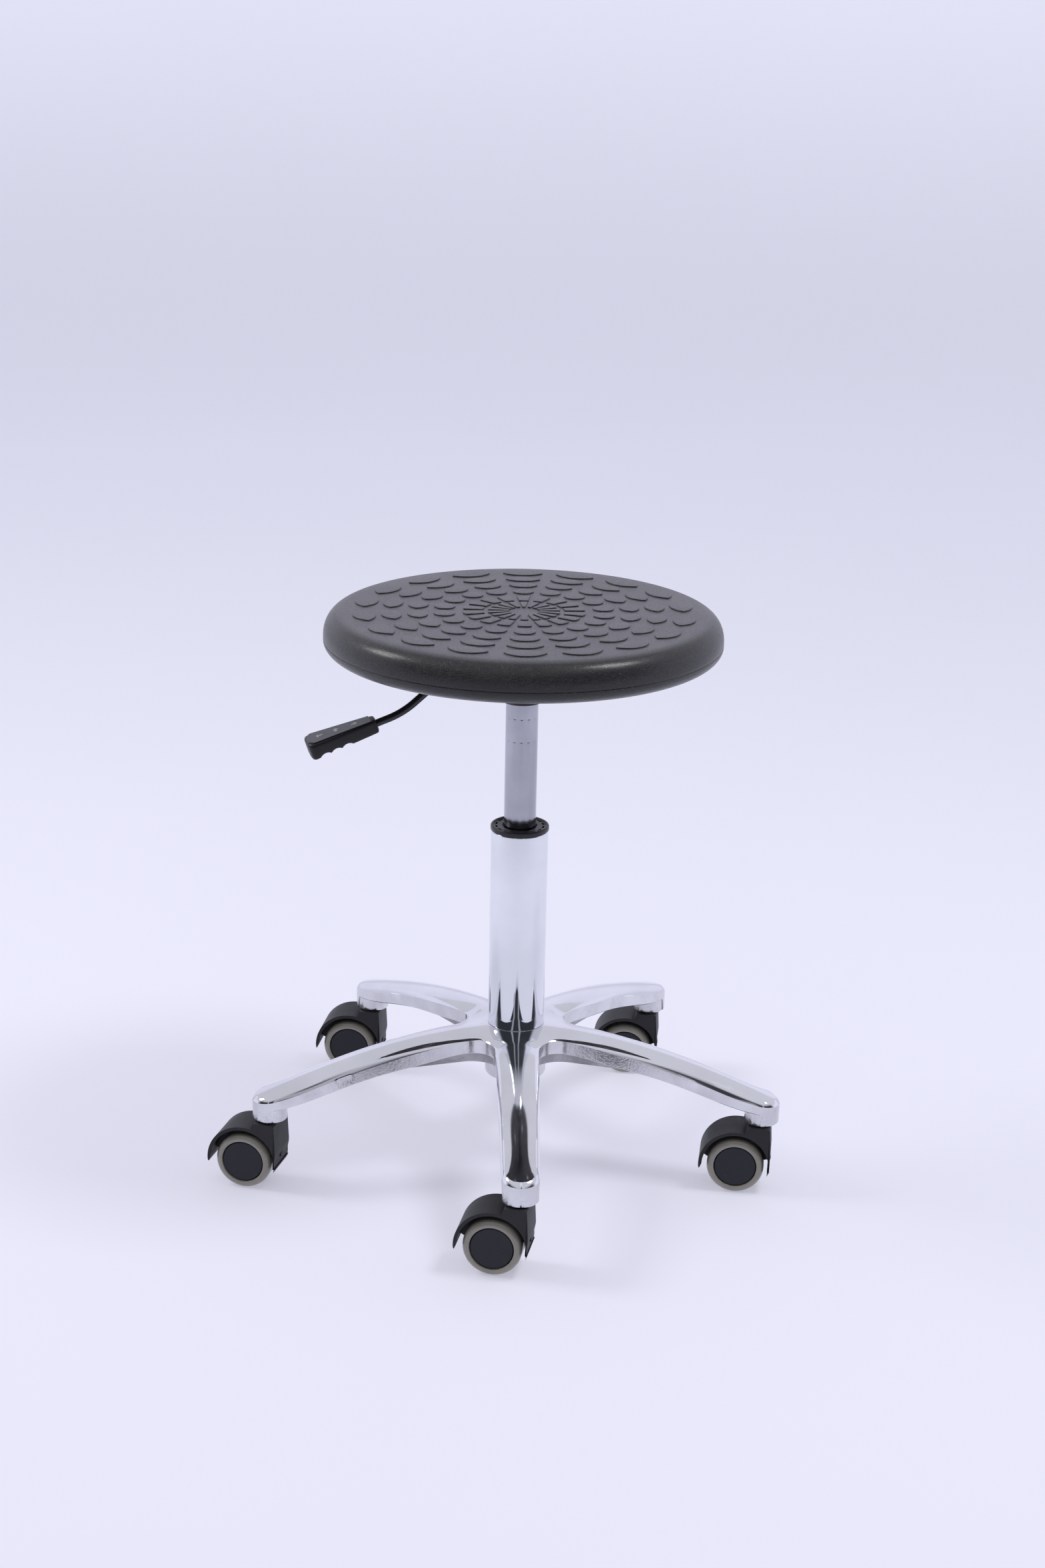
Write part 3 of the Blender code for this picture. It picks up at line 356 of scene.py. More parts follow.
class Scuffs(Effect):
    """Thin broken scratches that cross each other, from use and handling."""

    title = "scuffs"
    takes = {"Scale": 60.0, "Amount": 0.5}
    gives = ("Mask",)

    @classmethod
    def wire(cls, board: Board, takes: bpy.types.NodeOutputs, gives: bpy.types.NodeInputs) -> None:
        """Two stretched noises, cut to thin lines and broken up by a third."""
        masks = []
        for stretch in ((1.0, 9.0, 3.0), (8.0, 1.2, 2.0)):
            lines = board.noise(board.stretched(stretch), takes["Scale"], 3.0)
            distance = board.math("ABSOLUTE", board.math("SUBTRACT", lines, 0.5))
            masks.append(board.spread(distance, 0.0, 0.012, 1.0, 0.0))
        both = board.math("MAXIMUM", masks[0], masks[1])
        place = board.add("ShaderNodeTexCoord").outputs["Object"]
        broken = board.spread(board.noise(place, 34.0, 2.0), 0.52, 0.66, 0.0, 1.0)
        board.feed(gives["Mask"],
                   board.math("MULTIPLY", board.math("MULTIPLY", both, broken), takes["Amount"]))


class Specks(Effect):
    """Scattered dust and lint."""

    title = "dust_specks"
    takes = {"Scale": 420.0, "Share": 0.06}
    gives = ("Mask",)

    @classmethod
    def wire(cls, board: Board, takes: bpy.types.NodeOutputs, gives: bpy.types.NodeInputs) -> None:
        """Small dots of a Voronoi pattern, kept only where a random value allows."""
        place = board.add("ShaderNodeTexCoord").outputs["Object"]
        dots = board.add("ShaderNodeTexVoronoi", {"Vector": place, "Scale": takes["Scale"]})
        dot = board.spread(dots.outputs["Distance"], 0.10, 0.20, 1.0, 0.0)
        chance = board.add("ShaderNodeSeparateColor", {0: dots.outputs["Color"]}).outputs[0]
        kept = board.math("LESS_THAN", chance, takes["Share"])
        board.feed(gives["Mask"], board.math("MULTIPLY", dot, kept))


class EdgeWear(Effect):
    """A mask along outer edges, where polish thins and plastic turns lighter."""

    title = "edge_wear"
    takes = {"Start": 0.52, "Amount": 1.0}
    gives = ("Mask",)

    @classmethod
    def wire(cls, board: Board, takes: bpy.types.NodeOutputs, gives: bpy.types.NodeInputs) -> None:
        """Pointiness past the start value, broken up by noise."""
        sharp = board.add("ShaderNodeNewGeometry").outputs["Pointiness"]
        place = board.add("ShaderNodeTexCoord").outputs["Object"]
        broken = board.spread(board.noise(place, 260.0, 3.0), 0.35, 0.7, 0.2, 1.0)
        end = board.math("ADD", takes["Start"], 0.08)
        mask = board.spread(sharp, takes["Start"], end, 0.0, 1.0)
        board.feed(gives["Mask"],
                   board.math("MULTIPLY", board.math("MULTIPLY", mask, broken), takes["Amount"]))


class UpperFace(Effect):
    """A mask of the faces that look up, where a seat is sat on and dulls, and where a painted sheen lightens
    its colour.
    """

    title = "upper_face"
    takes = {"Start": 0.8}
    gives = ("Mask",)

    @classmethod
    def wire(cls, board: Board, takes: bpy.types.NodeOutputs, gives: bpy.types.NodeInputs) -> None:
        """The upward part of the face's direction, past the start value."""
        facing = board.add("ShaderNodeNewGeometry").outputs["Normal"]
        upward = board.add("ShaderNodeSeparateXYZ", {0: facing}).outputs["Z"]
        board.feed(gives["Mask"], board.spread(upward, takes["Start"], 1.0, 0.0, 1.0))


# --- finishes -----------------------------------------------------------------------------------------


@dataclass(frozen=True)
class Finish:
    """A plain finish: base colour, gloss and metal share, with soft mottling of its gloss.

    Attributes:
        name: Name of the material.
        color: Linear base colour.
        roughness: Mean roughness.
        swing: How far the roughness varies either way.
        metallic: 1 for bare metal.
        slot: Material slot of the record that the finish belongs to.
    """

    name: str
    color: Color
    roughness: float
    swing: float = 0.03
    metallic: float = 0.0
    slot: str = ""

    def material(self) -> bpy.types.Material:
        """Returns the finish as a material, built on first use."""
        found = bpy.data.materials.get(self.name)
        if found:
            return found
        made = bpy.data.materials.new(self.name)
        made.use_nodes = True
        board = Board(made.node_tree)
        shader = made.node_tree.nodes["Principled BSDF"]
        shader.inputs["Metallic"].default_value = self.metallic
        shader.inputs["Base Color"].default_value = (*self.color, 1.0)
        self.dress(board, shader)
        return made

    def dress(self, board: Board, shader: bpy.types.Node) -> None:
        """Adds what makes this finish its own.

        Args:
            board: The material's board.
            shader: Its Principled shader.
        """
        self.vary_gloss(board, shader, 14.0)

    def vary_gloss(self, board: Board, shader: bpy.types.Node, scale: float) -> bpy.types.NodeSocket:
        """Lets the roughness wander in soft patches.

        Args:
            board: The material's board.
            shader: Its Principled shader.
            scale: Patches for each metre.

        Returns:
            The roughness socket that now feeds the shader.
        """
        low, high = self.roughness - self.swing, self.roughness + self.swing
        patches = Mottle.place(board, Scale=scale, Low=low, High=high)["Value"]
        board.feed(shader.inputs["Roughness"], patches)
        return patches

    def bump(self, board: Board, shader: bpy.types.Node, height: Wire, depth: float,
             strength: float = 1.0) -> None:
        """Turns a height into a bumped normal.

        Args:
            board: The material's board.
            shader: Its Principled shader.
            height: Height between 0 and 1.
            depth: How deep that is, in metres.
            strength: Share of the bump that shows.
        """
        bump = board.add("ShaderNodeBump", {"Height": height, "Distance": depth, "Strength": strength})
        board.feed(shader.inputs["Normal"], bump.outputs["Normal"])

    def shades(self, board: Board, amount: Wire, first: float, second: float) -> bpy.types.NodeSocket:
        """The base colour at two brightnesses, mixed.

        Args:
            board: The material's board.
            amount: Share of the second shade.
            first: Factor of the first shade.
            second: Factor of the second shade.

        Returns:
            The mixed colour.
        """
        dark = (*(channel * first for channel in self.color), 1.0)
        light = (*(channel * second for channel in self.color), 1.0)
        return board.tint(amount, dark, light)


@dataclass(frozen=True)
class PolishedMetal(Finish):
    """Buffed or plated metal whose reflections wander slightly.

    Attributes:
        ripple: Depth of the wandering, in metres.
        ripple_scale: Waves for each metre.
        haze: Brightness of the dullest patches.
    """

    metallic: float = 1.0
    ripple: float = 0.00002
    ripple_scale: float = 22.0
    haze: float = 0.92

    def dress(self, board: Board, shader: bpy.types.Node) -> None:
        """Soft ripples, faint scuffs and a little haze.

        Args:
            board: The material's board.
            shader: Its Principled shader.
        """
        gloss = self.vary_gloss(board, shader, 18.0)
        scuffs = Scuffs.place(board, Scale=70.0, Amount=0.12)["Mask"]
        board.feed(shader.inputs["Roughness"], board.math("ADD", gloss, scuffs))
        haze = Mottle.place(board, Scale=13.0, Low=0.0, High=1.0)["Value"]
        board.feed(shader.inputs["Base Color"], self.shades(board, haze, self.haze, 1.03))
        place = board.add("ShaderNodeTexCoord").outputs["Object"]
        self.bump(board, shader, board.noise(place, self.ripple_scale, 1.0), self.ripple)


@dataclass(frozen=True)
class CastMetal(Finish):
    """Aluminium as it leaves the mould, brushed over: mottled, with small pits and drag marks.

    Attributes:
        pits: Depth of the texture, in metres.
        shade: Brightness of the darkest patches.
    """

    metallic: float = 1.0
    pits: float = 0.0001
    shade: float = 0.7

    def dress(self, board: Board, shader: bpy.types.Node) -> None:
        """Mottled colour and gloss over a pitted surface.

        Args:
            board: The material's board.
            shader: Its Principled shader.
        """
        gloss = self.vary_gloss(board, shader, 55.0)
        patches = Mottle.place(board, Scale=38.0, Low=0.0, High=1.0)["Value"]
        color = self.shades(board, patches, self.shade, 1.0)
        marks = Scuffs.place(board, Scale=45.0, Amount=0.5)["Mask"]
        dark = (*(channel * 0.45 for channel in self.color), 1.0)
        board.feed(shader.inputs["Base Color"], board.tint(marks, color, dark))
        board.feed(shader.inputs["Roughness"], board.math("ADD", gloss, board.math("MULTIPLY", marks, 0.2)))
        grain = SparkGrain.place(board, Scale=520.0, Bite=1.0)["Height"]
        self.bump(board, shader, grain, self.pits, 0.7)


@dataclass(frozen=True)
class GroundMetal(Finish):
    """Ground or turned steel with fine rings round the piece.

    Attributes:
        line_depth: Depth of the rings, in metres.
    """

    metallic: float = 1.0
    line_depth: float = 0.000004

    def dress(self, board: Board, shader: bpy.types.Node) -> None:
        """Rings in the normal and in the gloss, over soft mottling.

        Args:
            board: The material's board.
            shader: Its Principled shader.
        """
        gloss = self.vary_gloss(board, shader, 20.0)
        lines = ToolLines.place(board, Fineness=1.0)
        board.feed(shader.inputs["Roughness"],
                   board.math("ADD", gloss, board.math("MULTIPLY", lines["Value"], 0.05)))
        haze = Mottle.place(board, Scale=26.0, Low=0.0, High=1.0)["Value"]
        board.feed(shader.inputs["Base Color"], self.shades(board, haze, 0.90, 1.04))
        self.bump(board, shader, lines["Height"], self.line_depth)


@dataclass(frozen=True)
class MouldedPlastic(Finish):
    """Plastic from a textured mould, lighter along its edges and with a little dust.

    Attributes:
        grain: Grains for each metre.
        depth: Depth of the grain, in metres.
        wear: How much the edges lighten.
        dust: Share of the surface's specks that show.
    """

    grain: float = 1400.0
    depth: float = 0.00005
    wear: float = 0.5
    dust: float = 0.03

    def dress(self, board: Board, shader: bpy.types.Node) -> None:
        """Grain, lighter edges, dust and soft mottling.

        Args:
            board: The material's board.
            shader: Its Principled shader.
        """
        self.vary_gloss(board, shader, 30.0)
        patches = Mottle.place(board, Scale=24.0, Low=0.0, High=1.0)["Value"]
        color = self.shades(board, patches, 0.88, 1.12)
        worn = (*(channel * 1.9 + 0.008 for channel in self.color), 1.0)
        color = board.tint(EdgeWear.place(board, Start=0.53, Amount=self.wear)["Mask"], color, worn)
        dust = (*(channel * 2.0 + 0.05 for channel in self.color), 1.0)
        color = board.tint(Specks.place(board, Scale=380.0, Share=self.dust)["Mask"], color, dust)
        board.feed(shader.inputs["Base Color"], color)
        shader.inputs["Specular IOR Level"].default_value = 0.38
        self.bump(board, shader, SparkGrain.place(board, Scale=self.grain, Bite=1.0)["Height"], self.depth)


@dataclass(frozen=True)
class SeatSkin(Finish):
    """Self-skinned foam with a leather grain.

    Attributes:
        cells: Grain cells for each metre.
        depth: Depth of the grain, in metres.
        sand: Share of fine sandy noise.
        sheen: Weight of the sheen at a flat angle.
        coat: Weight of the glossy skin.
        painted_sheen_color: Lighter colour of the upper face, a painted sheen.
    """

    cells: float = 760.0
    depth: float = 0.00022
    sand: float = 0.35
    sheen: float = 0.06
    coat: float = 0.35
    painted_sheen_color: Color = (0.085, 0.083, 0.097)

    def dress(self, board: Board, shader: bpy.types.Node) -> None:
        """Leather cells, shinier on their crowns, with painted shade in their creases and a painted sheen on
        the upper face.

        Args:
            board: The material's board.
            shader: Its Principled shader.
        """
        gloss = self.vary_gloss(board, shader, 16.0)
        grain = LeatherGrain.place(board, Cells=self.cells, Sand=self.sand)
        dull_top_painted_sheen = UpperFace.place(board, Start=0.86)["Mask"]
        matt = board.math("ADD", board.math("MULTIPLY", grain["Crease"], 0.12),
                          board.math("MULTIPLY", dull_top_painted_sheen, 0.10))
        board.feed(shader.inputs["Roughness"], board.math("ADD", gloss, matt))
        patches = Mottle.place(board, Scale=11.0, Low=0.0, High=1.0)["Value"]
        # The upper face gets a lighter colour here: a painted sheen.
        color = board.tint(dull_top_painted_sheen, self.shades(board, patches, 0.9, 1.1), (*self.painted_sheen_color, 1.0))
        # Darker colour in the grain's creases: painted shade.
        crease = (*(channel * 0.6 for channel in self.color), 1.0)
        color = board.tint(board.math("MULTIPLY", grain["Crease"], 0.5), color, crease)
        dust = Specks.place(board, Scale=300.0, Share=0.012)["Mask"]
        board.feed(shader.inputs["Base Color"], board.tint(dust, color, (0.10, 0.10, 0.10, 1.0)))
        self.bump(board, shader, grain["Height"], self.depth)
        shader.inputs["Coat Weight"].default_value = self.coat
        shader.inputs["Coat Roughness"].default_value = 0.24
        shader.inputs["Sheen Weight"].default_value = self.sheen
        shader.inputs["Sheen Roughness"].default_value = 0.35
        shader.inputs["Specular IOR Level"].default_value = 0.42


@dataclass(frozen=True)
class Urethane(Finish):
    """Soft cast tread: even colour under a clear gloss, with a trace of scuffing.

    Attributes:
        coat: Weight of the gloss layer.
    """

    coat: float = 0.6

    def dress(self, board: Board, shader: bpy.types.Node) -> None:
        """A coat over a slightly mottled body.

        Args:
            board: The material's board.
            shader: Its Principled shader.
        """
        gloss = self.vary_gloss(board, shader, 40.0)
        scuffs = Scuffs.place(board, Scale=120.0, Amount=0.25)["Mask"]
        board.feed(shader.inputs["Roughness"], board.math("ADD", gloss, scuffs))
        patches = Mottle.place(board, Scale=60.0, Low=0.0, High=1.0)["Value"]
        color = self.shades(board, patches, 0.95, 1.05)
        dust = Specks.place(board, Scale=520.0, Share=0.03)["Mask"]
        board.feed(shader.inputs["Base Color"], board.tint(dust, color, (0.45, 0.43, 0.39, 1.0)))
        shader.inputs["Coat Weight"].default_value = self.coat
        shader.inputs["Coat Roughness"].default_value = 0.08


@dataclass(frozen=True)
class PowderCoat(Finish):
    """Baked paint with a light orange peel.

    Attributes:
        peel: Depth of the peel, in metres.
    """

    peel: float = 0.00003

    def dress(self, board: Board, shader: bpy.types.Node) -> None:
        """Orange peel, lighter worn edges and a few specks.

        Args:
            board: The material's board.
            shader: Its Principled shader.
        """
        self.vary_gloss(board, shader, 35.0)
        worn = (0.09, 0.09, 0.095, 1.0)
        edge = EdgeWear.place(board, Start=0.56, Amount=0.35)["Mask"]
        board.feed(shader.inputs["Base Color"], board.tint(edge, (*self.color, 1.0), worn))
        self.bump(board, shader, SparkGrain.place(board, Scale=420.0, Bite=1.0)["Height"], self.peel)


@dataclass(frozen=True)
class Plywood(Finish):
    """Sawn board with growth rings and fine fibres."""

    def dress(self, board: Board, shader: bpy.types.Node) -> None:
        """Long bands of darker wood across the face.

        Args:
            board: The material's board.
            shader: Its Principled shader.
        """
        self.vary_gloss(board, shader, 30.0)
        bands = board.noise(board.stretched((5.0, 60.0, 5.0)), 2.2, 5.0)
        fibres = board.noise(board.stretched((18.0, 900.0, 18.0)), 1.0, 3.0)
        figure = board.math("ADD", board.math("MULTIPLY", bands, 0.7), board.math("MULTIPLY", fibres, 0.3))
        amount = board.spread(figure, 0.35, 0.65, 0.0, 1.0)
        board.feed(shader.inputs["Base Color"], self.shades(board, amount, 0.72, 1.15))
        self.bump(board, shader, fibres, 0.0001)


class Finishes(Enum):
    """Every finish of the stool, by the name its makers would use."""

    POLISHED_ALUMINIUM = PolishedMetal("polished_aluminium_buffed", (0.86, 0.865, 0.89), 0.075, 0.025,
                                       slot="polished_aluminium", ripple=0.00003, ripple_scale=26.0)
    CAST_SIDE = CastMetal("cast_aluminium_brushed", (0.74, 0.74, 0.77), 0.22, 0.05,
                          slot="polished_aluminium",
                          pits=0.00005, shade=0.86)
    CAST_UNDER = CastMetal("cast_aluminium_raw", (0.55, 0.55, 0.57), 0.48, 0.06, slot="polished_aluminium",
                           pits=0.0002, shade=0.6)
    CHROME = PolishedMetal("chrome_plate", (0.80, 0.815, 0.85), 0.045, 0.02, slot="chrome", ripple=0.000012,
                           ripple_scale=14.0)
    GROUND_STEEL = GroundMetal("ground_steel", (0.43, 0.43, 0.48), 0.17, 0.03, slot="satin_steel",
                               line_depth=0.0000015)
    ZINC_STEEL = GroundMetal("zinc_steel", (0.60, 0.60, 0.60), 0.34, 0.05, slot="steel")
    BRASS = GroundMetal("stamped_brass", (0.72, 0.55, 0.27), 0.32, 0.05, slot="brass")
    BLACK_PLASTIC = MouldedPlastic("guide_plastic", (0.020, 0.020, 0.022), 0.36, 0.05, slot="black_plastic",
                                   depth=0.00002)
    GRIP_PLASTIC = MouldedPlastic("grip_plastic", (0.011, 0.011, 0.012), 0.40, 0.04, slot="black_plastic",
                                  depth=0.00002, wear=0.3)
    GRIP_PLATE = MouldedPlastic("grip_plate", (0.075, 0.078, 0.088), 0.33, 0.03, slot="black_plastic",
                                depth=0.00001, wear=0.2, dust=0.0)
    GRIP_PRINT = MouldedPlastic("grip_print", (0.42, 0.42, 0.43), 0.5, 0.03, slot="black_plastic",
                                depth=0.00001, wear=0.0, dust=0.0)
    ROD_PAINT = PowderCoat("rod_paint", (0.008, 0.008, 0.009), 0.17, 0.04, slot="black_gloss", peel=0.00001)
    FRAME_PAINT = PowderCoat("frame_paint", (0.014, 0.014, 0.016), 0.36, 0.05, slot="black_paint")
    HOOD_PLASTIC = MouldedPlastic("hood_plastic_grained", (0.014, 0.014, 0.017), 0.52, 0.05,
                                  slot="hood_plastic")
    HUB_PLASTIC = MouldedPlastic("hub_cap_plastic", (0.012, 0.013, 0.020), 0.46, 0.05, slot="hub_plastic",
                                 grain=1800.0, depth=0.00002, wear=0.2)
    TYRE = Urethane("tread_urethane", (0.285, 0.268, 0.218), 0.30, 0.04, slot="tyre")
    SEAT = SeatSkin("seat_foam_skin", (0.006, 0.006, 0.007), 0.31, 0.04, slot="seat_skin")
    RUBBER = MouldedPlastic("buffer_rubber", (0.02, 0.02, 0.02), 0.78, 0.04, slot="rubber")
    # Plywood of the board under the seat, given a dark colour.
    PLYWOOD = Plywood("stained_ply", (0.030, 0.026, 0.024), 0.55, 0.05, slot="plywood")

    def material(self) -> bpy.types.Material:
        """Returns the finish's material."""
        return self.value.material()

    @property
    def slot(self) -> str:
        """The record's slot that this finish belongs to."""
        return self.value.slot


# --- mesh tools ---------------------------------------------------------------------------------------


def arc(center: Point, radius: float, start: float, end: float, count: int) -> list[Point]:
    """Points on an arc, both ends included.

    Args:
        center: Centre of the arc.
        radius: Its radius.
        start: First angle, in degrees.
        end: Last angle, in degrees.
        count: Number of steps.

    Returns:
        The points in order.
    """
    angles = [math.radians(start + (end - start) * i / count) for i in range(count + 1)]
    return [(center[0] + radius * math.cos(a), center[1] + radius * math.sin(a)) for a in angles]


def rounded(corners: Sequence[tuple[float, float, float]], steps: int = 4) -> list[Point]:
    """A run of corners in a plane, each rounded by its own radius.

    Args:
        corners: Points as (x, z, radius); the two ends keep their corner.
        steps: Steps round each corner.

    Returns:
        The rounded run.
    """
    points = [Vector(corner[:2]) for corner in corners]
    run: list[Point] = [tuple(points[0])]
    for i in range(1, len(points) - 1):
        radius = corners[i][2]
        before = (points[i - 1] - points[i]).normalized()
        after = (points[i + 1] - points[i]).normalized()
        half = math.acos(max(-1.0, min(1.0, before.dot(after)))) / 2
        if radius <= 0 or half > math.pi / 2 - 0.02:
            run.append(tuple(points[i]))
            continue
        reach = radius / math.tan(half)
        middle = points[i] + (before + after).normalized() * radius / math.sin(half)
        first = points[i] + before * reach - middle
        last = points[i] + after * reach - middle
        for step in range(steps + 1):
            spoke = first.slerp(last, step / steps).normalized() * radius
            run.append(tuple(middle + spoke))
    run.append(tuple(points[-1]))
    return run


@dataclass(frozen=True)
class HeightLine:
    """A smooth line through a few chosen points, as a natural cubic spline.

    Attributes:
        knots: Points as (distance, height), in rising distance.
    """

    knots: tuple[Point, ...]

    @cached_property
    def bends(self) -> list[float]:
        """Second derivative at each knot."""
        xs = [knot[0] for knot in self.knots]
        ys = [knot[1] for knot in self.knots]
        count = len(xs)
        gaps = [xs[i + 1] - xs[i] for i in range(count - 1)]
        upper = [0.0] * count
        value = [0.0] * count
        for i in range(1, count - 1):
            rise = (ys[i + 1] - ys[i]) / gaps[i] - (ys[i] - ys[i - 1]) / gaps[i - 1]
            pivot = 2 * (gaps[i - 1] + gaps[i]) - gaps[i - 1] * upper[i - 1]
            upper[i] = gaps[i] / pivot
            value[i] = (6 * rise - gaps[i - 1] * value[i - 1]) / pivot
        for i in range(count - 2, 0, -1):
            value[i] -= upper[i] * value[i + 1]
        return value

    def __call__(self, distance: float) -> float:
        """Returns the height at a distance, held flat past both ends."""
        knots = self.knots
        if distance <= knots[0][0]:
            return knots[0][1]
        if distance >= knots[-1][0]:
            return knots[-1][1]
        i = max(k for k in range(len(knots) - 1) if knots[k][0] <= distance)
        (x0, y0), (x1, y1) = knots[i], knots[i + 1]
        gap = x1 - x0
        a, b = (x1 - distance) / gap, (distance - x0) / gap
        curl = ((a**3 - a) * self.bends[i] + (b**3 - b) * self.bends[i + 1]) * gap**2 / 6
        return a * y0 + b * y1 + curl


@dataclass
class Shape:
    """Gathers the points and faces of one mesh, with a finish for each face.

    Attributes:
        points: Vertices so far.
        faces: Faces as runs of vertex numbers.
        finish: Finish number of each face.
    """

    points: list[Vector] = field(default_factory=list)
    faces: list[tuple[int, ...]] = field(default_factory=list)
    finish: list[int] = field(default_factory=list)

    def ring(self, points: Iterable[Sequence[float]], place: Matrix | None = None) -> list[int]:
        """Adds a run of vertices.

        Args:
            points: The points in order.
            place: Moves them first, if given.

        Returns:
            Their numbers.
        """
        start = len(self.points)
        for point in points:
            self.points.append(place @ Vector(point) if place else Vector(point))
        return list(range(start, len(self.points)))

    def face(self, corners: Sequence[int], finish: int = 0) -> None:
        """Adds one face, without repeated corners."""
        kept = [c for i, c in enumerate(corners) if c != corners[i - 1]]
        if len(kept) > 2:
            self.faces.append(tuple(kept))
            self.finish.append(finish)

    def skin(self, rings: Sequence[Sequence[int]], finish: int | Sequence[int] = 0,
             closed: bool = True) -> None:
        """Sews rings together in a run.

        Args:
            rings: Rings with the same number of vertices.
            finish: One finish number, or one for each side of the ring.
            closed: Whether each ring closes on itself.
        """
        for first, second in zip(rings, rings[1:]):
            count = len(first) if closed else len(first) - 1
            for i in range(count):
                j = (i + 1) % len(first)
                number = finish if isinstance(finish, int) else finish[i]
                self.face((first[i], first[j], second[j], second[i]), number)

    def turn(self, profile: Sequence[Point], steps: int, finish: int | Sequence[int] = 0,
             closed: bool = False, place: Matrix | None = None) -> None:
        """Turns a profile of (radius, height) about Z; points on the axis become poles.

        Args:
            profile: The profile in order.
            steps: Steps round the axis.
            finish: One finish number, or one for each stretch of the profile.
            closed: Whether the profile's end joins its start.
            place: Moves the turned piece, if given.
        """
        rings = []
        for radius, height in profile:
            if radius < 1e-7:
                pole = self.ring([(0, 0, height)], place)
                rings.append(pole * steps)
                continue
            angles = [2 * math.pi * i / steps for i in range(steps)]
            rings.append(self.ring([(radius * math.cos(a), radius * math.sin(a), height)
                                    for a in angles], place))
        if closed:
            rings.append(rings[0])
        for i, pair in enumerate(zip(rings, rings[1:])):
            self.skin(pair, finish if isinstance(finish, int) else finish[i])

    def slab(self, outline: Sequence[Sequence[float]], lift: Vector, finish: int = 0,
             place: Matrix | None = None) -> None:
        """A flat outline carried along a vector to a closed plate.

        Args:
            outline: Corner points of the first face.
            lift: The way to the second face.
            finish: Finish number.
            place: Moves the plate, if given.
        """
        low = self.ring(outline, place)
        high = self.ring([Vector(point) + lift for point in outline], place)
        self.skin([low, high], finish)
        self.face(list(reversed(low)), finish)
        self.face(high, finish)

    def build(self, name: str, finishes: Sequence[Finishes], sharp: float = 35.0, merge: float = 1e-6,
              face_out: bool = True) -> bpy.types.Object:
        """Makes the mesh object.

        Args:
            name: Name of the object.
            finishes: Finishes in the order of their numbers.
            sharp: Edges sharper than this many degrees stay crisp.
            merge: Vertices closer than this are joined.
            face_out: Whether face directions are worked out afresh.

        Returns:
            The object, linked to the scene.
        """
        mesh = bpy.data.meshes.new(name)
        mesh.from_pydata([tuple(point) for point in self.points], [], self.faces)
        for finish in finishes:
            mesh.materials.append(finish.material())
        mesh.polygons.foreach_set("material_index", self.finish)
        work = bmesh.new()
        work.from_mesh(mesh)
        bmesh.ops.remove_doubles(work, verts=work.verts, dist=merge)
        if face_out:
            bmesh.ops.recalc_face_normals(work, faces=work.faces)
        work.to_mesh(mesh)
        work.free()
        mesh.shade_smooth()
        mesh.set_sharp_from_angle(angle=math.radians(sharp))
        made = bpy.data.objects.new(name, mesh)
        bpy.context.scene.collection.objects.link(made)
        finishes[0].slot
        return made


def soften(piece: bpy.types.Object, width: float, segments: int = 3, angle: float = 35.0) -> None:
    """Rounds a piece's sharp edges.

    Args:
        piece: The piece.
        width: Width of the rounding, in metres.
        segments: Facets across it.
        angle: Only edges sharper than this many degrees.
    """
    bevel = piece.modifiers.new("Soft edges", "BEVEL")
    bevel.width = width
    bevel.segments = segments
    bevel.limit_method = "ANGLE"
    bevel.angle_limit = math.radians(angle)
    bevel.harden_normals = True
    bevel.use_clamp_overlap = True


def cut(piece: bpy.types.Object, cutter: bpy.types.Object) -> None:
    """Cuts one piece with another and removes the cutter.

    Args:
        piece: The piece that keeps its name.
        cutter: The piece that is taken away from it.
    """
    boolean = piece.modifiers.new("Cut", "BOOLEAN")
    boolean.operation = "DIFFERENCE"
    boolean.object = cutter
    bpy.context.view_layer.update()
    graph = bpy.context.evaluated_depsgraph_get()
    mesh = bpy.data.meshes.new_from_object(piece.evaluated_get(graph))
    piece.modifiers.clear()
    piece.data = mesh
    bpy.data.objects.remove(cutter)


# --- base ---------------------------------------------------------------------------------------------


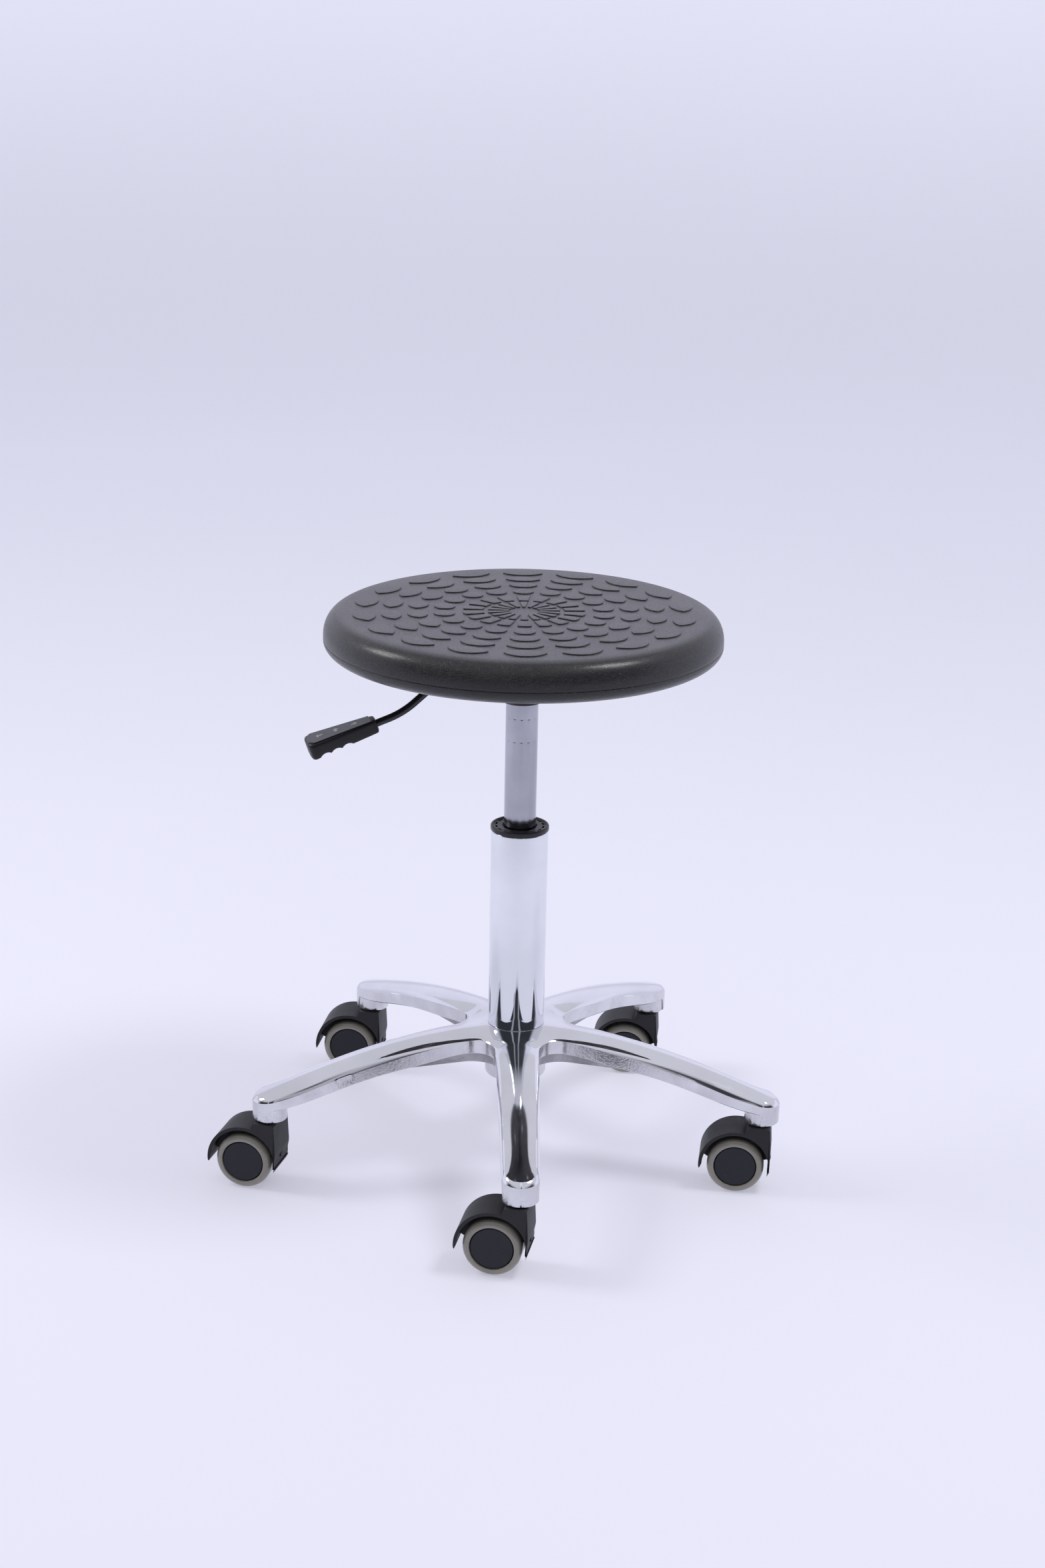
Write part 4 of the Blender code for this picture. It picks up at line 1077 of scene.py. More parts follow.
@dataclass
class CastBase:
    """Five-arm casting with a crowned top, chamfered edges and an open underside.

    Attributes:
        top: Height where the casting meets the tube.
        circle: Radius of the circle of caster stems.
        first_angle: Angle of the first arm, in radians.
        tube_radius: Radius of the tube that stands in the hub.
    """

    top: float
    circle: float
    first_angle: float
    tube_radius: float
    arms: int = 5
    tip_radius: float = 0.0158
    taper: float = 0.0195
    valley_radius: float = 0.020
    sleeve_radius: float = 0.027
    pad_radius: float = 0.0146
    pad_drop: float = 0.0632
    chamfer: float = 0.0028
    tip_chamfer: float = 0.0036
    lip: float = 0.0032
    shell: float = 0.0040
    rib_inset: float = 0.006
    rib_wall: float = 0.004
    rib_reach: float = 0.110
    rib_drop: float = 0.0276
    end_face_start: float = 84.0
    crest: HeightLine = HeightLine(((0.025, 0.0), (0.053, 0.0012), (0.082, 0.0034), (0.111, 0.0073),
                                    (0.140, 0.0129), (0.169, 0.0198), (0.198, 0.0279), (0.224, 0.0362),
                                    (0.2375, 0.0408)))
    edge: HeightLine = HeightLine(((0.025, 0.0), (0.034, 0.0016), (0.046, 0.0034), (0.066, 0.0046),
                                   (0.090, 0.0072), (0.120, 0.0118), (0.150, 0.0180), (0.180, 0.0260),
                                   (0.210, 0.0350), (0.2413, 0.0418)))
    side: HeightLine = HeightLine(((0.046, 0.0050), (0.066, 0.0066), (0.090, 0.0103), (0.120, 0.0158),
                                   (0.150, 0.0228), (0.180, 0.0309), (0.210, 0.0397), (0.2413, 0.0449)))
    under: HeightLine = HeightLine(((0.046, 0.0172), (0.066, 0.0186), (0.090, 0.0226), (0.120, 0.0272),
                                    (0.150, 0.0332), (0.180, 0.0414), (0.210, 0.0490), (0.2413, 0.0530)))
    crown_points: int = 21
    fillet_steps: int = 12
    side_steps: int = 36
    tip_steps: int = 16
    floor_offset: float = 0.078

    @property
    def reach(self) -> float:
        """Distance from the column to the end of an arm."""
        return self.circle + self.tip_radius

    @property
    def half_sector(self) -> float:
        """Half the angle between two arms."""
        return math.pi / self.arms

    def half_width(self, along: float) -> float:
        """Half the width of an arm at a distance from the column."""
        return self.tip_radius + (self.circle - along) * self.taper

    def outline(self) -> list[tuple[Vector, Vector, float]]:
        """One side of an arm in plan, from the valley to the end of the tip.

        Returns:
            Stations as (point, direction into the arm, degrees round the tip or -1).
        """
        slope = math.atan(self.taper)
        reach = (self.valley_radius / math.cos(slope) + self.half_width(0)) / (
            math.sin(self.half_sector) + math.cos(self.half_sector) * self.taper)
        center = Vector((math.cos(self.half_sector), math.sin(self.half_sector))) * reach
        start, end = math.pi + self.half_sector, 1.5 * math.pi - slope
        stations = []
        for i in range(self.fillet_steps + 1):
            angle = start + (end - start) * i / self.fillet_steps
            inward = Vector((math.cos(angle), math.sin(angle)))
            stations.append((center + inward * self.valley_radius, inward, -1.0))
        tangent = stations[-1][0]
        for i in range(1, self.side_steps):
            along = tangent.x + (self.circle - tangent.x) * i / self.side_steps
            stations.append((Vector((along, self.half_width(along))), inward, -1.0))
        for i in range(self.tip_steps + 1):
            degrees = 90.0 * (1 - i / (self.tip_steps + 0.5))
            outward = Vector((math.cos(math.radians(degrees)), math.sin(math.radians(degrees))))
            stations.append((Vector((self.circle, 0)) + outward * self.tip_radius, -outward, degrees))
        return stations

    def across(self, edge: Vector, middle: float, laterals: Sequence[float]) -> list[Point]:
        """Plan points on a bow from one edge of an arm to the other.

        Args:
            edge: The edge point on the left.
            middle: Distance of the bow's middle from the column.
            laterals: Places across, from 1 at the left edge to -1 at the right.

        Returns:
            The points.
        """
        half, points = self.half_sector, []
        for lateral in laterals:
            bulge = (math.cos(half * lateral) - math.cos(half)) / (1 - math.cos(half))
            points.append((edge.x + (middle - edge.x) * bulge,
                           edge.y * math.sin(half * lateral) / math.sin(half)))
        return points

    def crown(self, edge: Vector, blend: float, middle: float) -> list[tuple[float, float, float]]:
        """Top of the arm at one station, from the left edge to the right.

        Args:
            edge: Left end of the crown in plan.
            blend: How round the line across is.
            middle: Distance of the crown's middle from the column.

        Returns:
            Points in space.
        """
        laterals = [1 - 2 * i / (self.crown_points - 1) for i in range(self.crown_points)]
        points = []
        high, low = self.top - self.crest(middle), self.top - self.edge(edge.length)
        for (x, y), lateral in zip(self.across(edge, middle, laterals), laterals):
            dome = 1 - lateral**2
            wave = 0.5 + 0.5 * math.cos(math.pi * lateral)
            share = wave * blend + dome * (1 - blend)
            points.append((x, y, low + (high - low) * share))
        return points

    def station(self, point: Vector, inward: Vector, degrees: float, blend: float,
                sagitta: float) -> list[tuple]:
        """The closed section of an arm at one station: crown, right side, ceiling, left side.

        Args:
            point: Left side of the arm in plan.
            inward: Direction into the arm there.
            degrees: Degrees round the tip, or -1.
            blend: How round the line across is.
            sagitta: Bulge of the first bow, at the hub.

        Returns:
            Points in space.
        """
        distance = min(point.length, self.reach)
        tip = 0.0 if degrees < 0 else 1.0 - max(degrees, 0.0) / 90.0
        width = self.chamfer + (self.tip_chamfer - self.chamfer) * tip
        edge = point + inward * width
        crown = self.crown(edge, blend, edge.x + sagitta * blend)
        side = self.top - self.side(distance)
        under = self.top - self.under(distance)
        if 0 <= degrees <= self.end_face_start:
            under = self.pad_drop + 0.0004 - self.floor_offset
        ceiling = min(side - 0.001, self.top - self.edge(distance) - self.shell)
        ceiling = max(ceiling, under + 0.0004)
        rows = []
        upper = crown[0][2]
        for share, bulge in ((0.35, 0.00018), (0.7, 0.00018), (1.0, 0.0)):
            place = point + inward * width * (1 - share) - inward * bulge
            rows.append((place, upper + (side - upper) * share + bulge))
        rows.append((point + inward * 0.0003, under + 0.0007))
        rows.append((point + inward * 0.0010, under))
        rows.append((point + inward * (self.lip + 0.0004), under))
        rows.append((point + inward * (self.lip + 0.0010), ceiling))
        left = [(place.x, place.y, height) for place, height in rows]
        right = [(x, -y, z) for x, y, z in left]
        return [*crown, *right, *reversed(left)]

    def arm(self, shape: Shape, turn: Matrix) -> None:
        """Adds one arm with its share of the hub's top.

        Args:
            shape: The shape to add to.
            turn: Rotation of the arm about the column.
        """
        stations = self.outline()
        start = Vector((math.cos(self.half_sector), math.sin(self.half_sector)))
        first = stations[0][0] + stations[0][1] * self.chamfer
        hub = []
        for i in range(9):
            radius = self.tube_radius + (first.length - self.tube_radius) * i / 9
            hub.append(shape.ring(self.crown(start * radius, 1.0, radius), turn))
        rings = []
        sagitta = first.length - first.x
        for i, (point, inward, degrees) in enumerate(stations):
            t = min(1.0, i / (self.fillet_steps + 8))
            blend = 1 - t * t * (3 - 2 * t)
            rings.append(shape.ring(self.station(point, inward, degrees, blend, sagitta), turn))
        shape.skin([*hub, rings[0][:self.crown_points]], 0, closed=False)
        sides = (len(rings[0]) - self.crown_points) // 2
        side_finish = [0, 0, 0, 1, 1, 2, 2]
        finish = [0] * (self.crown_points - 1) + side_finish + [2] + list(reversed(side_finish))
        shape.skin(rings, finish[:self.crown_points + 2 * sides])
        shape.face(rings[-1], 0)

    def rib(self, shape: Shape, turn: Matrix) -> None:
        """Adds the stepped wall that runs round one valley, from arm to arm.

        Args:
            shape: The shape to add to.
            turn: Rotation of the arm about the column.
        """
        mirror = Matrix.Rotation(2 * self.half_sector, 4, "Z") @ Matrix.Scale(-1, 4, Vector((0, 1, 0)))
        side = [(point, inward) for point, inward, degrees in self.outline() if point.x < self.rib_reach]
        sections = []
        for point, inward in side:
            bottom = self.top - self.rib_drop
            high = self.top - self.edge(point.length) - self.shell
            fade = min(1.0, (self.rib_reach - point.x) / 0.006)
            outer = point + inward * self.rib_inset
            inner = outer + inward * self.rib_wall * max(fade, 0.1)
            sections.append([(outer.x, outer.y, high), (outer.x, outer.y, bottom + 0.0006),
                             (outer.x + inward.x * 0.0006, outer.y + inward.y * 0.0006, bottom),
                             (inner.x, inner.y, bottom), (inner.x, inner.y, high)])
        rings = [shape.ring(section, turn @ mirror) for section in reversed(sections)]
        rings += [shape.ring(section, turn) for section in sections]
        shape.skin(rings, 2)
        shape.face(rings[0], 2)
        shape.face(rings[-1], 2)

    def hub(self, shape: Shape) -> None:
        """Adds the sleeve below the arms."""
        low, bore = 0.0, self.tube_radius - 0.0011
        profile = rounded([(bore, self.top - 0.0005, 0), (self.sleeve_radius, self.top - 0.008, 0),
                           (self.sleeve_radius, low, 0.003), (bore, low, 0.0008),
                           (bore, self.top - 0.0005, 0)], 5)
        shape.turn(profile[:-1], 128, 1, closed=True)

    def pad(self, shape: Shape, place: Matrix) -> None:
        """Adds the round pad under one tip, bored for the stem."""
        low = self.pad_drop - self.floor_offset
        profile = rounded([(0.0062, low, 0), (self.pad_radius, low, 0.0008),
                           (self.pad_radius, low + 0.0175, 0)], 4)
        profile += [(0.0062, low + 0.0175)]
        shape.turn(list(reversed(profile)), 64, 1, closed=True, place=place)

    def build(self) -> bpy.types.Object:
        """Builds the whole casting.

        Returns:
            The casting, riding on the base.
        """
        shape = Shape()
        for number in range(self.arms):
            turn = Matrix.Rotation(self.first_angle + 2 * self.half_sector * number, 4, "Z")
            self.arm(shape, turn)
            self.rib(shape, turn)
            self.pad(shape, turn @ Matrix.Translation((self.circle, 0, 0)))
        self.hub(shape)
        finishes = (Finishes.POLISHED_ALUMINIUM, Finishes.CAST_SIDE, Finishes.CAST_UNDER)
        made = shape.build("cast_base", finishes, sharp=24.0, merge=0.00003)
        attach(made, "base")
        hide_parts("base_casting")
        return made


# --- column -------------------------------------------------------------------------------------------


@dataclass
class Column:
    """Plated outer tube with the plastic guide on top, and the ground cylinder that rises from it.

    Attributes:
        foot: Height of the seam with the casting.
        top: Top of the tube.
        radius: Outer radius of the tube.
        cylinder_radius: Radius of the rising cylinder.
        cylinder_bottom: Its lower end.
        cylinder_top: Its upper end.
    """

    foot: float
    top: float
    radius: float
    cylinder_radius: float
    cylinder_bottom: float
    cylinder_top: float
    wall: float = 0.0015
    lip_radius: float = 0.0255
    lip_height: float = 0.0044
    slots: int = 16
    slot_radius: float = 0.0207
    dimple_rows: tuple[float, float] = (0.3326, 0.3121)
    dimples: int = 14

    def tube(self) -> bpy.types.Object:
        """Builds the plated tube, with a fine chamfer at the seam and a rolled top edge."""
        inside = self.radius - self.wall
        profile = rounded([(inside, self.foot - 0.04, 0), (inside, self.top, 0.0004),
                           (self.radius, self.top, 0.0008), (self.radius, self.foot + 0.0003, 0.0003),
                           (self.radius - 0.0008, self.foot + 0.0001, 0),
                           (self.radius - 0.0012, 0.004, 0.0004),
                           (0.006, 0.004, 0), (0.006, 0.007, 0), (inside - 0.0014, 0.007, 0)], 5)
        shape = Shape()
        shape.turn(list(reversed(profile)), 192, 0, closed=True)
        made = shape.build("plated_tube", (Finishes.CHROME,), sharp=40.0)
        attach(made, "base")
        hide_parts("column_tube")
        return made

    def guide(self) -> bpy.types.Object:
        """Builds the guide ring, with a rounded rim, a sunk face and a ring of slots."""
        low = self.top + 0.0003
        high = low + self.lip_height
        sunk = high - 0.0011
        bore = self.cylinder_radius + 0.0003
        collar = self.cylinder_radius + 0.0012
        rim = rounded([(self.lip_radius - 0.0027, sunk, 0), (self.lip_radius - 0.0022, high, 0.0006),
                       (self.lip_radius, high, 0.0014), (self.lip_radius, low, 0.0005),
                       (self.radius - self.wall - 0.0003, low, 0)], 5)
        sleeve_low = low - 0.062
        profile = [(bore, sunk - 0.0012), (collar, sunk - 0.0012), (collar + 0.0002, sunk), *rim,
                   (self.radius - self.wall - 0.0003, sleeve_low), (bore, sleeve_low)]
        shape = Shape()
        shape.turn(profile, 144, 0, closed=True)
        made = shape.build("guide_ring", (Finishes.BLACK_PLASTIC,), sharp=40.0)
        tool = Shape()
        for number in range(self.slots):
            turn = Matrix.Rotation(2 * math.pi * (number + 0.5) / self.slots, 4, "Z")
            inner, outer = self.slot_radius - 0.0008, self.slot_radius + 0.0008
            span = 360 / self.slots * 0.34
            outline = [(*p, sunk - 0.0016) for p in arc((0, 0), inner, -span, span, 6)]
            outline += [(*p, sunk - 0.0016) for p in arc((0, 0), outer, span, -span, 6)]
            tool.slab(outline, Vector((0, 0, 0.004)), place=turn)
        cut(made, tool.build("slot_cutter", (Finishes.BLACK_PLASTIC,)))
        made.data.shade_smooth()
        made.data.set_sharp_from_angle(angle=math.radians(40))
        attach(made, "base")
        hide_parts("guide_bushing")
        return made

    def cylinder(self) -> bpy.types.Object:
        """Builds the rising cylinder with its two rows of crimp marks."""
        r, wall = self.cylinder_radius, 0.0018
        taper_start = self.cylinder_top - 0.020
        shape = Shape()
        steps = 168
        heights = [self.cylinder_bottom, self.cylinder_bottom + 0.0008]
        marks: list[float] = []
        for row in self.dimple_rows:
            marks += [row + offset * 0.0003 for offset in range(-4, 5)]
        heights += sorted(marks) + [taper_start]
        rings = []
        inside_low = shape.ring([(math.cos(2 * math.pi * i / steps) * (r - wall),
                                  math.sin(2 * math.pi * i / steps) * (r - wall), heights[0])
                                 for i in range(steps)])
        rings.append(inside_low)
        for height in heights:
            ring = []
            for i in range(steps):
                angle = 2 * math.pi * i / steps
                depth = self.dimple_depth(angle, height)
                lead = 0.0006 if height == heights[0] else 0.0
                ring.append(((r - depth - lead) * math.cos(angle),
                             (r - depth - lead) * math.sin(angle), height))
            rings.append(shape.ring(ring))
        neck = r - 0.0007
        rings.append(shape.ring([(neck * math.cos(2 * math.pi * i / steps),
                                  neck * math.sin(2 * math.pi * i / steps), self.cylinder_top)
                                 for i in range(steps)]))
        top = shape.ring([(0.003 * math.cos(2 * math.pi * i / steps),
                           0.003 * math.sin(2 * math.pi * i / steps), self.cylinder_top)
                          for i in range(steps)])
        rings.append(top)
        shape.skin(rings)
        made = shape.build("rising_cylinder", (Finishes.GROUND_STEEL,), sharp=50.0)
        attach(made, "seat")
        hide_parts("gas_cylinder")
        return made

    def dimple_depth(self, angle: float, height: float) -> float:
        """Depth of the crimp marks at a place on the cylinder."""
        depth = 0.0
        for row in self.dimple_rows:
            rise = (height - row) / 0.0007
            if abs(rise) > 2.0:
                continue
            phase = (angle * self.dimples / (2 * math.pi)) % 1.0 - 0.5
            sweep = phase * 2 * math.pi * self.cylinder_radius / self.dimples / 0.0014
            depth += 0.00022 * math.exp(-rise * rise - sweep * sweep)
        return depth

    def build(self) -> None:
        """Builds the tube, the guide and the cylinder."""
        self.tube()
        self.guide()
        self.cylinder()


# --- seat ---------------------------------------------------------------------------------------------


@dataclass(frozen=True)
class Relief:
    """One ring of raised shapes on the seat.

    Attributes:
        inner: Radius of the shapes' inner ends, on their middle line.
        outer: Radius of their outer ends.
        tips: Radius of their side tips.
        spread: Half of each shape's angle, in degrees.
        wedge: Whether the sides run straight to the centre instead of curving.
    """

    inner: float
    outer: float
    tips: float
    spread: float
    wedge: bool = False

    def outline(self) -> list[Point]:
        """The shape's outline about the X axis, in order round it."""
        half = math.radians(self.spread)
        tip = Vector((math.cos(half), math.sin(half))) * self.tips
        crown = self.bow(tip, self.outer, 10)
        if self.wedge:
            narrow = Vector((math.cos(half), math.sin(half))) * self.inner
            return [*crown, (narrow.x, narrow.y), (narrow.x, -narrow.y)]
        return [*crown, *list(reversed(self.bow(tip, self.inner, 14)))[1:-1]]

    def bow(self, tip: Vector, middle: float, steps: int) -> list[Point]:
        """A circular bow from the right tip over a middle point to the left tip.

        Args:
            tip: The left tip.
            middle: Distance of the bow's middle from the seat's centre.
            steps: Steps along it.

        Returns:
            The bow's points.
        """
        rise = middle - tip.x
        if abs(rise) < 1e-6:
            return [(tip.x, -tip.y), (tip.x, tip.y)]
        radius = (tip.y**2 + rise**2) / (2 * rise)
        sweep = 2 * math.atan2(rise, tip.y)
        center = middle - radius
        angles = [-2 * abs(sweep / 2) + 4 * abs(sweep / 2) * i / steps for i in range(steps + 1)]
        return [(center + radius * math.cos(a), abs(radius) * math.sin(a)) for a in angles]


@dataclass
class Seat:
    """Round moulded seat: a flat-topped pad with rolled sides and rings of raised shapes on top.

    Attributes:
        radius: Outer radius.
        top: Height of the top face.
        bottom: Height of the underside.
        board_radius: Radius of the insert board under it.
        board_top: Top of that board.
    """

    radius: float
    top: float
    bottom: float
    board_radius: float
    board_top: float
    columns: int = 18
    first_column: float = -89.2
    rise: float = 0.0010
    rings: tuple[Relief, ...] = (
        Relief(0.0131, 0.0310, 0.0303, 6.2, True), Relief(0.0350, 0.0526, 0.0512, 6.6, True),
        Relief(0.0595, 0.0777, 0.0684, 7.7), Relief(0.0827, 0.0999, 0.0920, 7.8),
        Relief(0.1050, 0.1220, 0.1137, 7.7), Relief(0.1270, 0.1463, 0.1363, 7.4))
    steps: int = 256

    def profile(self) -> list[Point]:
        """The pad's profile from the top's centre, round the side, to the edge of the board's recess."""
        flat = self.top - 0.0008
        side = self.radius
        points: list[Point] = [(0.0, flat), (0.05, flat), (0.10, flat), (0.135, flat), (0.150, flat)]
        shoulder, drop = side - 0.153, 0.0205
        for i in range(1, 17):
            angle = math.radians(90 * (1 - i / 16))
            power = 0.92
            points.append((0.153 + shoulder * math.cos(angle)**power,
                           flat - drop + drop * math.sin(angle)**power))
        seam = self.top - 0.0235
        points += [(side, seam + 0.0006), (side - 0.0003, seam + 0.0002), (side - 0.0003, seam - 0.0002),
                   (side, seam - 0.0006)]
        low = self.bottom
        belly, turn = 0.0185, seam - 0.0010 - low
        for i in range(0, 17):
            angle = math.radians(90 * i / 16)
            points.append((side - belly + belly * math.cos(angle), low + turn - turn * math.sin(angle)))
        recess = self.board_radius + 0.0004
        points += [(recess + 0.0015, low), (recess, low + 0.0008),
                   (recess, self.board_top), (0.0, self.board_top)]
        return points

    def scale(self, shape: Shape, relief: Relief, turn: Matrix) -> None:
        """Adds one raised shape with a softened rim.

        Args:
            shape: The shape to add to.
            relief: Its ring.
            turn: Its place round the seat.
        """
        outline = [Vector(point) for point in relief.outline()]
        middle = sum(outline, Vector((0, 0))) / len(outline)
        flat = self.top - 0.0008
        rims = ((0.0, -0.0004), (0.0, self.rise * 0.62), (0.00018, self.rise * 0.88), (0.00050, self.rise),
                (0.0016, self.rise + 0.00005))
        rings = []
        for inset, height in rims:
            points = []
            for point in outline:
                reach = (point - middle).length
                kept = point + (middle - point) * min(0.6, inset / max(reach, 1e-6))
                points.append((kept.x, kept.y, flat + height))
            rings.append(shape.ring(points, turn))
        shape.skin(rings)
        shape.face(rings[-1])
        shape.face(list(reversed(rings[0])))

    def build(self) -> bpy.types.Object:
        """Builds the seat pad.

        Returns:
            The pad, riding on the seat.
        """
        shape = Shape()
        shape.turn(self.profile(), self.steps)
        for relief in self.rings:
            for column in range(self.columns):
                angle = math.radians(self.first_column) + 2 * math.pi * column / self.columns
                self.scale(shape, relief, Matrix.Rotation(angle, 4, "Z"))
        made = shape.build("seat_pad", (Finishes.SEAT,), sharp=50.0)
        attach(made, "seat")
        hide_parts("seat_cushion")
        return made


# --- mechanism and lever ------------------------------------------------------------------------------


@dataclass
class Mechanism:
    """Pressed housing, seat plate and bolts under the seat.

    Attributes:
        turn: Rotation of the release gear about the column.
        low: Foot of the housing.
        high: Top of the housing's flange.
        plate_low: Underside of the seat plate.
        plate_high: Its top.
        bolt_spots: Bolt centres before the turn.
    """

    turn: Matrix
    low: float
    high: float
    plate_low: float
    plate_high: float
    bolt_spots: tuple[Point, ...]
    cylinder_radius: float
    channel_left: float = 0.046
    channel_right: float = 0.036
    socket_left: float = 0.019
    socket_right: float = 0.030
    half: float = 0.024
    depth: float = 0.0232
    sheet: float = 0.002
    bolt_head: float = 0.0055
    skirt: float = 0.0022

    def rounded_box(self, left: float, right: float, half: float, radius: float, height: float,
                    steps: int = 5) -> list[tuple[float, float, float]]:
        """A rectangle in plan with round corners, at one height."""
        points = []
        for cx, cy, start in ((right - radius, half - radius, 0), (left + radius, half - radius, 90),
                              (left + radius, radius - half, 180), (right - radius, radius - half, 270)):
            points += [(x, y, height) for x, y in arc((cx, cy), radius, start, start + 90, steps)]
        return points

    def tray(self, shape: Shape, left: float, right: float, low: float, high: float, radius: float) -> None:
        """An open-topped pressed tray with a rolled lower edge.

        Args:
            shape: The shape to add to.
            left: Left end.
            right: Right end.
            low: Underside.
            high: Rim.
            radius: Radius of the upright corners.
        """
        half, sheet = self.half, self.sheet
        rings = []
        for angle in (90, 60, 30, 0):
            inset = 0.003 * (1 - math.cos(math.radians(angle)))
            lift = 0.003 * (1 - math.sin(math.radians(angle)))
            rings.append(shape.ring(self.rounded_box(left + inset, right - inset,
                                                     half - inset, radius, low + lift)))
        rings.append(shape.ring(self.rounded_box(left, right, half, radius, high)))
        inner = max(radius - sheet, 0.001)
        rings.append(shape.ring(self.rounded_box(left + sheet, right - sheet, half - sheet, inner, high)))
        rings.append(shape.ring(self.rounded_box(left + sheet, right - sheet,
                                                 half - sheet, inner, low + sheet)))
        shape.skin(rings)
        shape.face(list(reversed(rings[0])))
        shape.face(rings[-1])

    def housing(self) -> bpy.types.Object:
        """Builds the housing: channel, socket box, taper socket and stiffening beads."""
        shape = Shape()
        channel_low = self.high - self.depth
        self.tray(shape, -self.channel_left, self.channel_right, channel_low, self.high, 0.005)
        made = shape.build("release_housing", (Finishes.FRAME_PAINT,), sharp=40.0)
        box = Shape()
        foot = self.low - self.skirt
        self.tray(box, -self.socket_left, self.socket_right, foot, channel_low + 0.0004, 0.006)
        for side in (-1, 1):
            for x in (-0.006, 0.016):
                bead = [(x - 0.0035, side * (self.half - 0.0004), channel_low - 0.002),
                        (x + 0.0035, side * (self.half - 0.0004), channel_low - 0.002),
                        (x + 0.0035, side * (self.half - 0.0004), channel_low + 0.012),
                        (x - 0.0035, side * (self.half - 0.0004), channel_low + 0.012)]
                box.slab(bead, Vector((0, side * 0.0012, 0)))
        collar = rounded([(self.cylinder_radius + 0.0005, foot - 0.0003, 0),
                          (self.cylinder_radius + 0.0035, foot - 0.0003, 0.0006),
                          (self.cylinder_radius + 0.0035, self.low + 0.021, 0),
                          (self.cylinder_radius + 0.0005, self.low + 0.021, 0)], 4)
        box.turn(list(reversed(collar)), 64, closed=True)
        lower = box.build("socket_box", (Finishes.FRAME_PAINT,), sharp=40.0)
        for piece in (made, lower):
            bore = Shape()
            bore.turn([(0, self.low + 0.03), (self.cylinder_radius + 0.0005, self.low + 0.03),
                       (self.cylinder_radius + 0.0005, self.low - 0.01), (0, self.low - 0.01)], 64)
            cut(piece, bore.build("bore_cutter", (Finishes.FRAME_PAINT,)))
        window = Shape()
        window.slab(self.rounded_box(-self.channel_left - 0.01, -self.channel_left + 0.004, 0.0048, 0.0015,
                                     self.high - 0.0112), Vector((0, 0, 0.03)))
        cut(made, window.build("window_cutter", (Finishes.FRAME_PAINT,)))
        for piece in (made, lower):
            soften(piece, 0.0004, 2)
            piece.matrix_world = self.turn
            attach(piece, "seat")
        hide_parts("mechanism_housing")
        return made

    def plate(self) -> bpy.types.Object:
        """Builds the seat plate with rounded corners and pressed ribs."""
        half = 0.075
        shape = Shape()
        rings = []
        for inset, height in ((0.0008, self.plate_low), (0.0002, self.plate_low + 0.0003),
                              (0.0, self.plate_low + 0.0009), (0.0, self.plate_high - 0.0004),
                              (0.0006, self.plate_high)):
            rings.append(shape.ring(self.rounded_box(inset - half, half - inset,
                                                     half - inset, 0.010, height, 8)))
        shape.skin(rings)
        shape.face(list(reversed(rings[0])))
        shape.face(rings[-1])
        for side in (-1, 1):
            for start, end, across in ((-0.052, 0.052, 0.044),):
                outline = []
                for x, y in (*arc((end, 0), 0.0045, -90, 90, 8), *arc((start, 0), 0.0045, 90, 270, 8)):
                    outline.append((x, y + side * across, self.plate_low + 0.0001))
                low = [(x * 0.985, side * across + (y - side * across) * 0.6, self.plate_low - 0.0016)
                       for x, y, z in outline]
                first, second = shape.ring(outline), shape.ring(low)
                shape.skin([first, second])
                shape.face(second)
                shape.face(list(reversed(first)))
        made = shape.build("seat_mounting_plate", (Finishes.FRAME_PAINT,), sharp=40.0)
        made.matrix_world = self.turn
        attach(made, "seat")
        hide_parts("seat_plate")
        return made

    def bolt(self, number: int, spot: Point) -> bpy.types.Object:
        """Builds one flanged hexagon bolt.

        Args:
            number: Its number.
            spot: Its centre before the turn.

        Returns:
            The bolt.
        """
        top = self.plate_low - 0.0003
        shape = Shape()
        flange = rounded([(0, top, 0), (0.0070, top, 0.0003), (0.0066, top - 0.0012, 0.0003),
                          (0.0050, top - 0.0014, 0)], 3)
        shape.turn([*flange, (0, top - 0.0014)], 48)
        hexagon = [(self.bolt_head * math.cos(math.radians(60 * i)),
                    self.bolt_head * math.sin(math.radians(60 * i)), top - 0.0010) for i in range(6)]
        rims = [hexagon, [(x, y, top - 0.0034) for x, y, z in hexagon],
                [(x * 0.88, y * 0.88, top - 0.0040) for x, y, z in hexagon],
                [(x * 0.62, y * 0.62, top - 0.0040) for x, y, z in hexagon],
                [(x * 0.58, y * 0.58, top - 0.0035) for x, y, z in hexagon]]
        rings = [shape.ring(rim) for rim in rims]
        shape.skin(rings)
        shape.face(rings[-1])
        shape.face(list(reversed(rings[0])))
        made = shape.build(f"flange_bolt_{number}", (Finishes.ZINC_STEEL,), sharp=30.0)
        made.matrix_world = self.turn @ Matrix.Translation((*spot, 0))
        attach(made, "seat")
        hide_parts(f"seat_bolt_{number}")
        return made

    def build(self) -> None:
        """Builds the housing, the plate and the bolts."""
        self.housing()
        self.plate()
        for number, spot in enumerate(self.bolt_spots, 1):
            self.bolt(number, spot)


